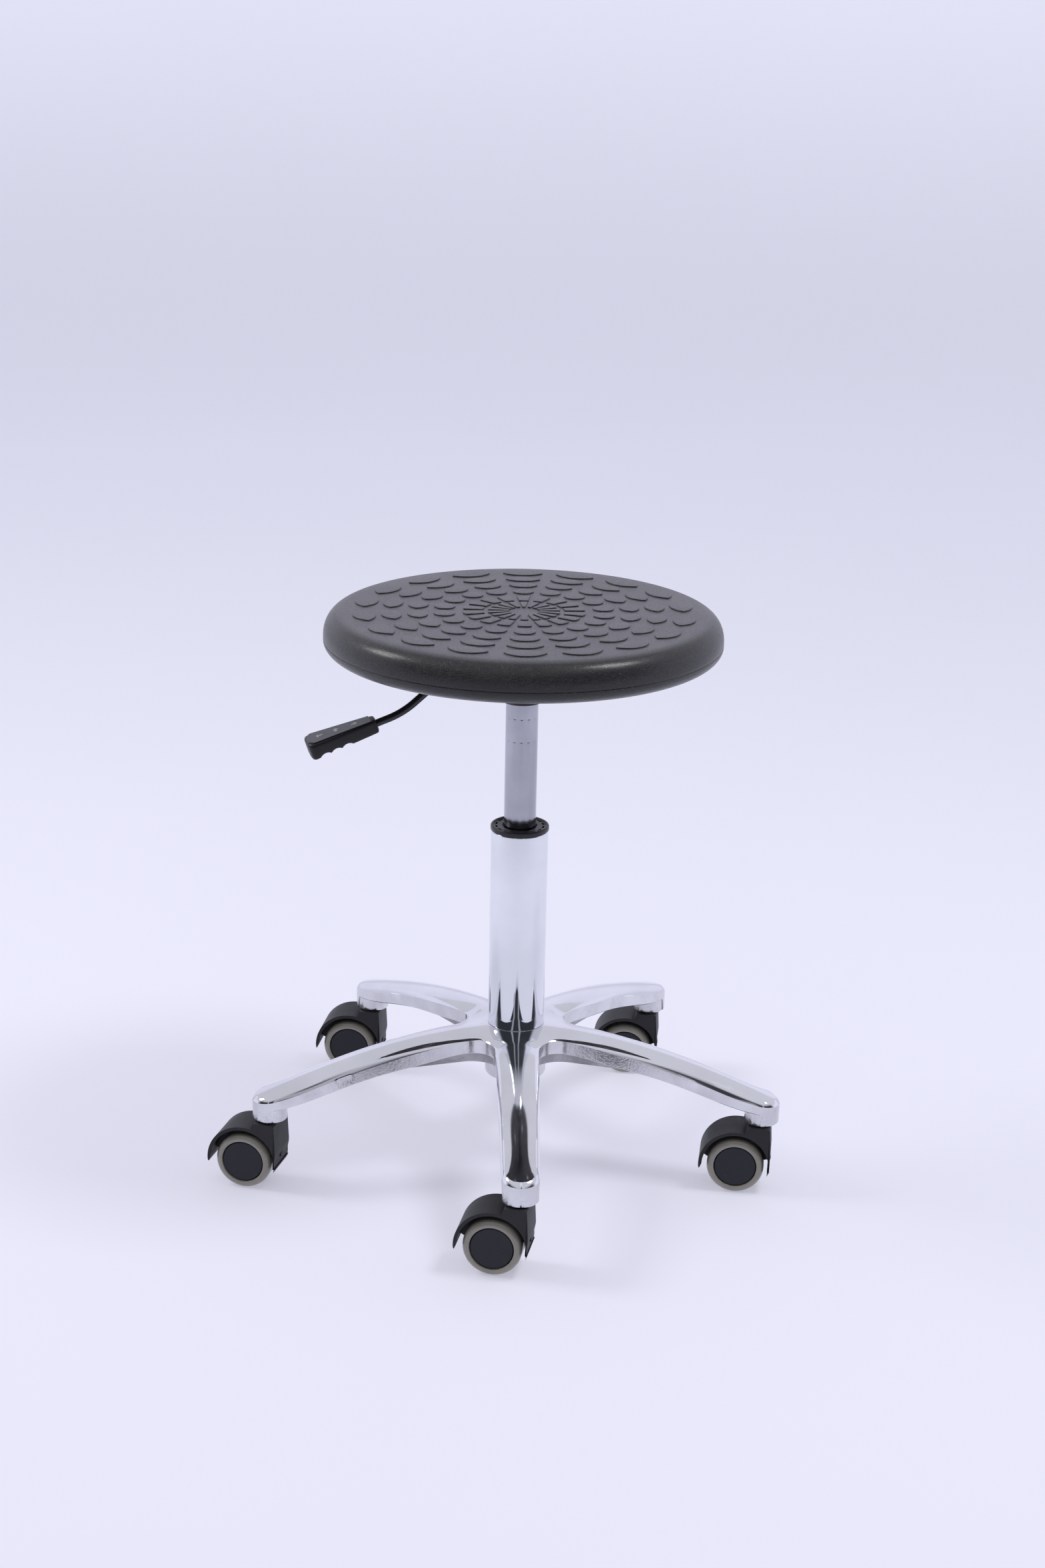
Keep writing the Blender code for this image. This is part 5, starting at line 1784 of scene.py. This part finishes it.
@dataclass
class Lever:
    """Bent release rod with its moulded handle.

    Attributes:
        turn: Rotation of the release gear about the column.
        height: Height of the rod at the pivot.
        pivot: Distance of the pivot from the column.
    """

    turn: Matrix
    height: float
    pivot: float
    rod_radius: float = 0.0033
    nose: float = 0.008
    first_bend: Point = (0.0585, 0.0)
    second_bend: Point = (0.1045, 0.0390)
    bend: float = 0.013
    handle_start: Point = (0.127, 0.0475)
    handle_length: float = 0.062
    pitch: float = 18.4
    tilt: float = 10.0

    def route(self) -> list[Vector]:
        """The rod's centre line, away from the column along X, with round bends."""
        pitch = math.radians(self.pitch)
        start = Vector((-self.handle_start[0], 0, self.height - self.handle_start[1]))
        end = start + Vector((-math.cos(pitch), 0, -math.sin(pitch))) * 0.02
        corners = [Vector((self.nose, 0, self.height)), Vector((-self.first_bend[0], 0, self.height)),
                   Vector((-self.second_bend[0], 0, self.height - self.second_bend[1])), end]
        points = [corners[0]]
        for before, corner, after in zip(corners, corners[1:], corners[2:]):
            first = corner + (before - corner).normalized() * self.bend
            last = corner + (after - corner).normalized() * self.bend
            for i in range(13):
                t = i / 12
                points.append(first.lerp(corner, t).lerp(corner.lerp(last, t), t))
        points.append(corners[-1])
        return points

    def rod(self) -> bpy.types.Object:
        """Builds the rod as a swept tube, with the pivot block on it."""
        shape = Shape()
        route = self.route()
        rings = []
        for i, point in enumerate(route):
            ahead = route[min(i + 1, len(route) - 1)] - route[max(i - 1, 0)]
            along = ahead.normalized()
            up = Vector((0, 1, 0)).cross(along).normalized()
            ring = []
            for step in range(24):
                angle = 2 * math.pi * step / 24
                ring.append(point + (up * math.cos(angle) + Vector((0, 1, 0)) * math.sin(angle))
                            * self.rod_radius)
            rings.append(shape.ring(ring))
        shape.skin(rings)
        shape.face(rings[0])
        shape.face(list(reversed(rings[-1])))
        x, z = -self.pivot, self.height
        block = [(x - 0.005, -0.008, z - 0.0045), (x + 0.005, -0.008, z - 0.0045),
                 (x + 0.005, -0.008, z + 0.0045), (x - 0.005, -0.008, z + 0.0045)]
        shape.slab(block, Vector((0, 0.016, 0)))
        made = shape.build("release_rod", (Finishes.ROD_PAINT,), sharp=50.0)
        made.matrix_world = self.turn
        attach(made, "lever")
        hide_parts("lever_rod")
        return made

    def handle(self) -> bpy.types.Object:
        """Builds the handle: a widening paddle with finger scallops and a sloped plate on top."""
        steps, around = 72, 40
        shape = Shape()
        rings = []
        for i in range(steps + 1):
            share = i / steps
            along = self.handle_length * share
            ring = []
            for point in self.section(share, around):
                ring.append((-along, point[0], point[1]))
            rings.append(shape.ring(ring))
        shape.skin(rings)
        shape.face(rings[0])
        shape.face(list(reversed(rings[-1])))
        self.plate(shape)
        made = shape.build("release_handle",
                           (Finishes.GRIP_PLASTIC, Finishes.GRIP_PLATE, Finishes.GRIP_PRINT),
                           sharp=50.0)
        made.matrix_world = self.turn @ self.handle_place()
        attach(made, "lever")
        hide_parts("lever_handle")
        return made

    def handle_place(self) -> Matrix:
        """Where the handle's root end stands, with its length along -X."""
        start = Vector((-self.handle_start[0], 0, self.height - self.handle_start[1]))
        return Matrix.Translation(start) @ Matrix.Rotation(-math.radians(self.pitch), 4, "Y")

    def section(self, share: float, count: int) -> list[Point]:
        """The handle's section as (across, up) at a share of its length.

        Args:
            share: 0 at the rod, 1 at the tip.
            count: Points round it.

        Returns:
            The section's points.
        """
        end = min(1.0, share / 0.035) if share < 0.035 else min(1.0, (1 - share) / 0.07)
        rounding = 1 - 0.30 * (1 - math.sqrt(max(0.0, 1 - (1 - end)**2)))
        if share > 0.9:
            rounding = 1 - 0.42 * (1 - math.sqrt(max(0.0, 1 - (1 - end)**2)))
        half_width = (0.0070 + 0.0065 * share**0.9) * rounding
        top = (0.0060 + 0.0020 * share) * (0.5 + 0.5 * rounding)
        low = -(0.0063 + 0.0019 * share) * (0.1 + 0.9 * rounding) + self.scallop(share)
        points = []
        power = 0.32
        for i in range(count):
            angle = 2 * math.pi * (i + 0.5) / count
            c, s = math.cos(angle), math.sin(angle)
            across = half_width * math.copysign(abs(c)**power, c)
            lift = top if s > 0 else -low
            up = lift * math.copysign(abs(s)**power, s)
            if s > 0:
                up -= across * math.tan(math.radians(self.tilt)) * (-0.35)
            points.append((across, up))
        return points

    def scallop(self, share: float) -> float:
        """How far the underside rises for the fingers at a share of the length."""
        start, end, waves = 0.40, 0.88, 3
        if share < start or share > end:
            return 0.0
        phase = (share - start) / (end - start) * waves
        return 0.0023 * abs(math.sin(math.pi * phase))**0.7

    def plate(self, shape: Shape) -> None:
        """Adds the sloped plate with its plain arrows.

        Args:
            shape: The shape to add to.
        """
        slope = math.tan(math.radians(self.tilt)) * 0.35
        outline = []
        for share, side in ((0.07, 1), (0.90, 1), (0.975, 0.55), (0.975, -0.55), (0.90, -1), (0.07, -1)):
            width = (0.0070 + 0.0065 * share**0.9) * 0.86 * side
            outline.append((-self.handle_length * share, width, self.plate_height(share) + slope * width))
        shape.slab(outline, Vector((0, 0, 0.0005)), 1)
        for share, turn in ((0.30, 0.0), (0.56, 90.0), (0.80, 180.0)):
            place = Vector((-self.handle_length * share, 0, self.plate_height(share) + 0.00045))
            spin = Matrix.Translation(place) @ Matrix.Rotation(math.atan(slope), 4, "X") @ Matrix.Rotation(
                math.radians(turn), 4, "Z")
            for points in self.arrow():
                shape.slab([(x, y, 0.0) for x, y in points], Vector((0, 0, 0.00012)), 2, spin)

    def plate_height(self, share: float) -> float:
        """Height of the handle's top face on its middle line."""
        return 0.0060 + 0.0020 * share

    def arrow(self) -> tuple[list[Point], list[Point]]:
        """A plain arrow: its head and its stem."""
        head = [(0.0038, 0.0), (0.0004, 0.0032), (0.0004, -0.0032)]
        stem = [(0.0006, 0.0011), (-0.0034, 0.0011), (-0.0034, -0.0011), (0.0006, -0.0011)]
        return head, stem

    def build(self) -> None:
        """Builds the rod and the handle."""
        self.rod()
        self.handle()


# --- casters ------------------------------------------------------------------------------------------


class Side(Enum):
    """The two wheels of a caster, with the turn that lays each on its side."""

    LEFT = -90.0
    RIGHT = 90.0


@dataclass
class Caster:
    """Twin-wheel caster with an arched hood.

    Attributes:
        number: Its number round the base.
        stem: Plan position of its stem.
        axle: Centre of its axle.
    """

    number: int
    stem: Vector
    axle: Vector
    hood_radius: float = 0.0323
    hood_wall: float = 0.0030
    hood_half: float = 0.018
    hood_lift: float = 0.0006
    block_reach: float = 0.0104
    block_top: float = -0.0153
    web: float = 0.005
    tread: float = 0.025
    hub_radius: float = 0.0185
    inner: float = 0.003
    outer: float = 0.0176

    @property
    def place(self) -> Matrix:
        """Frame of the caster at its axle, with X towards the stem."""
        ahead = Vector((self.stem.x - self.axle.x, self.stem.y - self.axle.y, 0)).normalized()
        side = Vector((0, 0, 1)).cross(ahead)
        frame = Matrix((ahead, side, Vector((0, 0, 1)))).transposed().to_4x4()
        return Matrix.Translation(self.axle) @ frame

    @property
    def trail(self) -> float:
        """Distance from the stem to the axle in plan."""
        return (self.stem.xy - self.axle.xy).length

    def hood_outline(self) -> list[Point]:
        """The hood from the side, about the axle, going round its shell once."""
        front = self.trail + self.block_reach
        inside = self.hood_radius - self.hood_wall
        top = self.block_top - self.axle.z
        outline = rounded([(inside - 0.0012, -0.0072, 0), (front - 0.0040, -0.0104, 0.0010),
                           (front, 0.0100, 0.020),
                           (front - 0.0014, top - 0.0008, 0.0010), (front - 0.004, top, 0),
                           (self.trail - 0.0100, top, 0)], 5)
        outline += [(x, z + self.hood_lift) for x, z in arc((0, 0), self.hood_radius, 76, 180, 40)]
        outline += [(-self.hood_radius + 0.0002, -0.0020), (-self.hood_radius + 0.0010, -0.0032),
                    (-inside - 0.0004, 0.0006)]
        outline += [(x, z + self.hood_lift) for x, z in arc((0, 0), inside, 178, -13, 52)]
        return outline

    def hood(self) -> bpy.types.Object:
        """Builds the hood with its centre web, and rounds their edges."""
        name = f"caster_{self.number}_shell"
        shape = Shape()
        outline = [(x, -self.hood_half, z) for x, z in self.hood_outline()]
        shape.slab(outline, Vector((0, 2 * self.hood_half, 0)))
        made = shape.build(name, (Finishes.HOOD_PLASTIC,), sharp=35.0)
        soften(made, 0.0005, 3, 40.0)
        made.matrix_world = self.place
        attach(made, f"caster_{self.number}")
        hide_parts(f"caster_{self.number}_hood")
        self.middle_web()
        return made

    def middle_web(self) -> bpy.types.Object:
        """Builds the plate between the wheels that carries the axle."""
        rim = self.hood_radius - self.hood_wall / 2
        edge = [(x, z + self.hood_lift) for x, z in arc((0, 0), rim, 4, 172, 36)]
        edge += [(-0.0255, 0.0015), *arc((0, 0), 0.0075, 190, 350, 16), (0.0255, 0.0015)]
        shape = Shape()
        shape.slab([(x, -self.web / 2, z) for x, z in edge], Vector((0, self.web, 0)))
        made = shape.build(f"caster_{self.number}_web", (Finishes.HOOD_PLASTIC,), sharp=35.0)
        soften(made, 0.0004, 2, 40.0)
        made.matrix_world = self.place
        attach(made, f"caster_{self.number}")
        return made

    def wheel(self, side: Side) -> None:
        """Builds one wheel: its tread and its closed hub.

        Args:
            side: Which of the two wheels.
        """
        name = f"caster_{self.number}_{side.name.lower()}"
        place = self.place @ Matrix.Rotation(math.radians(side.value), 4, "X")
        tread = Shape()
        inner = self.hub_radius + 0.0002
        profile = [(inner, self.inner), (self.tread - 0.0022, self.inner)]
        profile += arc((self.tread - 0.0022, self.inner + 0.0022), 0.0022, -90, 0, 6)[1:]
        profile += arc((self.tread - 0.0050, self.outer - 0.0050), 0.0050, 0, 90, 12)
        profile += rounded([(self.tread - 0.0055, self.outer, 0),
                            (inner + 0.0002, self.outer - 0.0002, 0.0004),
                            (inner, self.outer - 0.0016, 0)], 3)
        tread.turn(list(reversed(profile)), 120, closed=True)
        made = tread.build(f"{name}_tread", (Finishes.TYRE,), sharp=45.0)
        made.matrix_world = place
        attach(made, f"{name}_wheel")
        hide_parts(f"{name}_tyre")
        hub = Shape()
        cap = self.outer - 0.0009
        r = self.hub_radius
        profile = [(0, cap + 0.00025), (r * 0.35, cap + 0.00022), (r * 0.7, cap + 0.0001), (r - 0.0022, cap)]
        profile += rounded([(r - 0.0020, cap, 0), (r - 0.0007, cap, 0.0005), (r - 0.0003, cap - 0.0012, 0),
                            (r, cap - 0.0014, 0), (r, self.inner + 0.0006, 0.0004),
                            (r - 0.0008, self.inner, 0),
                            (r - 0.0030, self.inner, 0.0004), (r - 0.0036, self.inner + 0.004, 0.0006),
                            (0.0075, self.inner + 0.004, 0.0006), (0.0070, self.inner, 0.0004),
                            (0.0034, self.inner, 0), (0.0034, self.inner + 0.010, 0)], 3)
        profile.append((0, self.inner + 0.010))
        hub.turn(profile, 96)
        made = hub.build(f"{name}_hub_cap", (Finishes.HUB_PLASTIC,), sharp=40.0)
        made.matrix_world = place
        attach(made, f"{name}_wheel")
        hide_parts(f"{name}_hub")

    def build(self) -> None:
        """Builds the hood and both wheels."""
        self.hood()
        for side in Side:
            self.wheel(side)


# --- studio -------------------------------------------------------------------------------------------


@dataclass
class Studio:
    """Pale seamless backdrop, two large softboxes and the camera.

    Attributes:
        floor: Height of the floor.
    """

    floor: float
    backdrop_color: Color = (0.50, 0.50, 0.56)
    glow_color: Color = (0.78, 0.78, 0.905)
    glow: float = 0.53
    room_color: tuple[float, ...] = (0.62, 0.62, 0.70, 1.0)
    ceiling_color: tuple[float, ...] = (0.040, 0.043, 0.052, 1.0)
    cove_radius: float = 5.0
    cove_bend: float = 1.6
    cove_height: float = 2.6
    front_height: float = 0.30
    camera_place: Vector = field(default_factory=lambda: Vector((0.00161, -2.20422, 0.98963)))
    camera_target: Vector = field(default_factory=lambda: Vector((0.00161, 0.0, 0.2703)))
    camera_roll: float = 1.156
    lens: float = 61.44

    def backdrop(self) -> bpy.types.Object:
        """Builds the floor and the round cove that rises from it, low in front and high behind."""
        flat = self.cove_radius - self.cove_bend
        steps, rows = 96, 24
        shape = Shape()
        rings = [shape.ring([(0.0, 0.0, self.floor)]) * steps]
        for i in range(1, 6):
            rings.append(shape.ring([(*point, self.floor)
                                     for point in arc((0, 0), flat * i / 5, 0, 360, steps)[:-1]]))
        for row in range(1, rows + 1):
            ring = []
            for i in range(steps):
                angle = 2 * math.pi * i / steps
                high = self.front_height + (self.cove_height - self.front_height) * self.rise_share(angle)
                sweep = min(1.0, math.acos(max(0.0, 1 - high / self.cove_bend)) / (math.pi / 2))
                share = row / rows
                bend = math.radians(90) * min(share * 1.25, 1.0) * sweep
                extra = max(0.0, high - self.cove_bend) * max(0.0, share * 5 - 4)
                radius = flat + self.cove_bend * math.sin(bend)
                height = self.floor + self.cove_bend * (1 - math.cos(bend)) + extra
                ring.append((radius * math.cos(angle), radius * math.sin(angle), height))
            rings.append(shape.ring(ring))
        shape.skin(list(reversed(rings)))
        mesh = bpy.data.meshes.new("backdrop")
        mesh.from_pydata([tuple(point) for point in shape.points], [], shape.faces)
        mesh.shade_smooth()
        mesh.materials.append(self.paper())
        made = bpy.data.objects.new("backdrop", mesh)
        bpy.context.scene.collection.objects.link(made)
        made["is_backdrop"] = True
        return made

    def rise_share(self, angle: float) -> float:
        """How much of its height the cove has at an angle: none in front, all of it behind."""
        share = min(1.0, max(0.0, (math.sin(angle) + 0.45) / 0.55))
        return share * share * (3 - 2 * share)

    def paper(self) -> bpy.types.Material:
        """Returns the matt paper of the backdrop."""
        made = bpy.data.materials.new("backdrop_paper")
        made.use_nodes = True
        board = Board(made.node_tree)
        shader = made.node_tree.nodes["Principled BSDF"]
        patches = Mottle.place(board, Scale=1.2, Low=0.0, High=1.0)["Value"]
        low = (*(channel * 0.985 for channel in self.backdrop_color), 1.0)
        board.feed(shader.inputs["Base Color"], board.tint(patches, low, (*self.backdrop_color, 1.0)))
        place = board.add("ShaderNodeTexCoord").outputs["Object"]
        height = board.add("ShaderNodeSeparateXYZ", {0: place}).outputs["Z"]
        dim = (*(channel * 0.85 for channel in self.glow_color), 1.0)
        bright = (*(channel * 1.26 for channel in self.glow_color), 1.0)
        glow = board.tint(board.spread(height, 0.0, 1.0, 0.0, 1.0), dim, bright)
        board.feed(shader.inputs["Emission Color"], glow)
        shader.inputs["Emission Strength"].default_value = self.glow
        behind = board.add("ShaderNodeNewGeometry").outputs["Backfacing"]
        board.feed(shader.inputs["Alpha"], board.math("SUBTRACT", 1.0, behind))
        shader.inputs["Roughness"].default_value = 0.9
        shader.inputs["Specular IOR Level"].default_value = 0.15
        return made

    def sky(self) -> None:
        """Lights the room evenly, darker high up in front of the stool."""
        world = bpy.data.worlds.new("studio_room")
        world.use_nodes = True
        board = Board(world.node_tree)
        back = world.node_tree.nodes["Background"]
        place = board.add("ShaderNodeTexCoord").outputs["Generated"]
        parts = board.add("ShaderNodeSeparateXYZ", {0: place})
        front = board.spread(parts.outputs["Y"], 0.02, -0.30, 0.0, 1.0)
        below = board.spread(parts.outputs["Z"], 0.74, 0.54, 0.0, 1.0)
        aside = board.math("ABSOLUTE",
                           board.math("SUBTRACT", board.math("ABSOLUTE", parts.outputs["X"]), 0.27))
        strips = board.spread(aside, 0.03, 0.09, 0.35, 1.0)
        seen = board.add("ShaderNodeLightPath").outputs["Is Camera Ray"]
        gloom = board.math("MULTIPLY", board.math("MULTIPLY", front, below), strips)
        color = board.tint(gloom, self.room_color, self.ceiling_color)
        color = board.tint(seen, color, (*self.glow_color, 1.0))
        board.feed(back.inputs["Color"], color)
        back.inputs["Strength"].default_value = 1.0
        bpy.context.scene.world = world

    def softbox(self, name: str, place: Vector, size: tuple[float, float], power: float,
                color: Color) -> None:
        """Adds one softbox that looks at the stool.

        Args:
            name: Name of the light.
            place: Where it hangs.
            size: Width and height.
            power: Watts.
            color: Colour of its light.
        """
        data = bpy.data.lights.new(name, "AREA")
        data.shape = "RECTANGLE"
        data.size, data.size_y = size
        data.energy = power
        data.color = color
        made = bpy.data.objects.new(name, data)
        made.location = place
        made.rotation_mode = "QUATERNION"
        made.rotation_quaternion = (Vector((0, 0, 0.2)) - place).to_track_quat("-Z", "Y")
        bpy.context.scene.collection.objects.link(made)

    def camera(self) -> None:
        """Places the camera."""
        data = bpy.data.cameras.new("camera")
        data.lens = self.lens
        data.sensor_width = 36.0
        data.clip_end = 60.0
        made = bpy.data.objects.new("camera", data)
        forward = (self.camera_target - self.camera_place).normalized()
        side = forward.cross(Vector((0, 0, 1))).normalized()
        up = side.cross(forward)
        roll = math.radians(self.camera_roll)
        up = up * math.cos(roll) - side * math.sin(roll)
        side = forward.cross(up)
        made.matrix_world = (Matrix.Translation(self.camera_place)
                             @ Matrix((side, up, -forward)).transposed().to_4x4())
        bpy.context.scene.collection.objects.link(made)
        bpy.context.scene.camera = made

    def build(self) -> None:
        """Builds the backdrop, the light and the camera."""
        self.backdrop()
        self.sky()
        self.softbox("softbox_left", Vector((-2.05, 0.30, 1.95)), (0.7, 0.7), 21.0, (1.0, 0.99, 0.98))
        self.softbox("softbox_right", Vector((1.25, -0.25, 2.30)), (0.6, 0.6), 21.0, (0.98, 0.99, 1.0))
        self.camera()
        scene = bpy.context.scene
        scene.view_settings.view_transform = "Standard"


# --- assembly -----------------------------------------------------------------------------------------


class Stool:
    """The whole stool, dressed over its frame."""

    inner_finishes = {
        "thrust_cushion": Finishes.RUBBER,
        "lower_race": Finishes.ZINC_STEEL, "upper_race": Finishes.ZINC_STEEL,
        "ball_cage": Finishes.BRASS, "piston_rod": Finishes.ZINC_STEEL, "piston": Finishes.BLACK_PLASTIC,
        "rod_clip": Finishes.ZINC_STEEL,
        "rod_gland": Finishes.BLACK_PLASTIC, "insert_board": Finishes.PLYWOOD,
        "lever_pin": Finishes.ZINC_STEEL, "valve_button": Finishes.ZINC_STEEL,
    }

    def __init__(self, frame: dict) -> None:
        """Reads the joints of the frame.
        """
        self.nodes = frame["nodes"]
        self.joints = {joint["name"]: joint for joint in frame["joints"]}

    def joint_place(self, name: str) -> Vector:
        """Point on a joint's axis."""
        return Vector(self.joints[name]["pos_m"])

    def dress(self) -> None:
        """Builds every sub-assembly and finishes the CAD nodes that stay."""
        stem = self.joint_place("caster_1_swivel")
        circle = math.hypot(stem.x, stem.y)
        tube_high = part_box("column_tube")[1]
        casting_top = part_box("base_casting")[1].z
        CastBase(casting_top, circle, math.atan2(stem.y, stem.x), tube_high.x).build()
        LOG.info("cast base built")
        gas_low, gas_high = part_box("gas_cylinder")
        Column(casting_top, tube_high.z, tube_high.x, gas_high.x, gas_low.z, gas_high.z).build()
        LOG.info("column built")
        seat_low, seat_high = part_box("seat_cushion")
        board_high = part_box("insert_board")[1]
        Seat(seat_high.x, seat_high.z, seat_low.z, board_high.x, board_high.z + 0.0003).build()
        LOG.info("seat built")
        axis = Vector(self.joints["lever_lift"]["axis"])
        turn = Matrix.Rotation(math.atan2(-axis.x, axis.y), 4, "Z")
        house_low, house_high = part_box("mechanism_housing")
        plate_low, plate_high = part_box("seat_plate")
        spots = tuple((0.06 * x, 0.06 * y) for x, y in ((1, 1), (-1, 1), (-1, -1), (1, -1)))
        Mechanism(turn, house_low.z, house_high.z, plate_low.z, plate_high.z, spots, gas_high.x).build()
        pivot = self.joint_place("lever_lift")
        Lever(turn, pivot.z, math.hypot(pivot.x, pivot.y)).build()
        LOG.info("mechanism and lever built")
        for number in range(1, 6):
            swivel = self.joint_place(f"caster_{number}_swivel")
            axle = self.joint_place(f"caster_{number}_left_roll")
            Caster(number, swivel, axle).build()
        LOG.info("casters built")
        self.finish_inner()

    def finish_inner(self) -> None:
        """Gives the CAD nodes that stay their finishes."""
        chosen = dict(self.inner_finishes)
        for number in range(1, 6):
            chosen[f"caster_{number}_stem"] = Finishes.ZINC_STEEL
            chosen[f"caster_{number}_axle"] = Finishes.ZINC_STEEL
        for name, finish in chosen.items():
            for slot in self.nodes[name].material_slots:
                slot.material = finish.material()


def clear_scene() -> None:
    """Removes whatever the file opened with."""
    for thing in list(bpy.data.objects):
        bpy.data.objects.remove(thing, do_unlink=True)


def main() -> None:
    """Builds the whole scene."""
    logging.basicConfig(level=logging.INFO, format="%(name)s: %(message)s")
    clear_scene()
    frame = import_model()
    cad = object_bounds()
    Stool(frame).dress()
    Studio(cad[0].z).build()
    LOG.info("studio built")


if __name__ == "__main__":
    main()
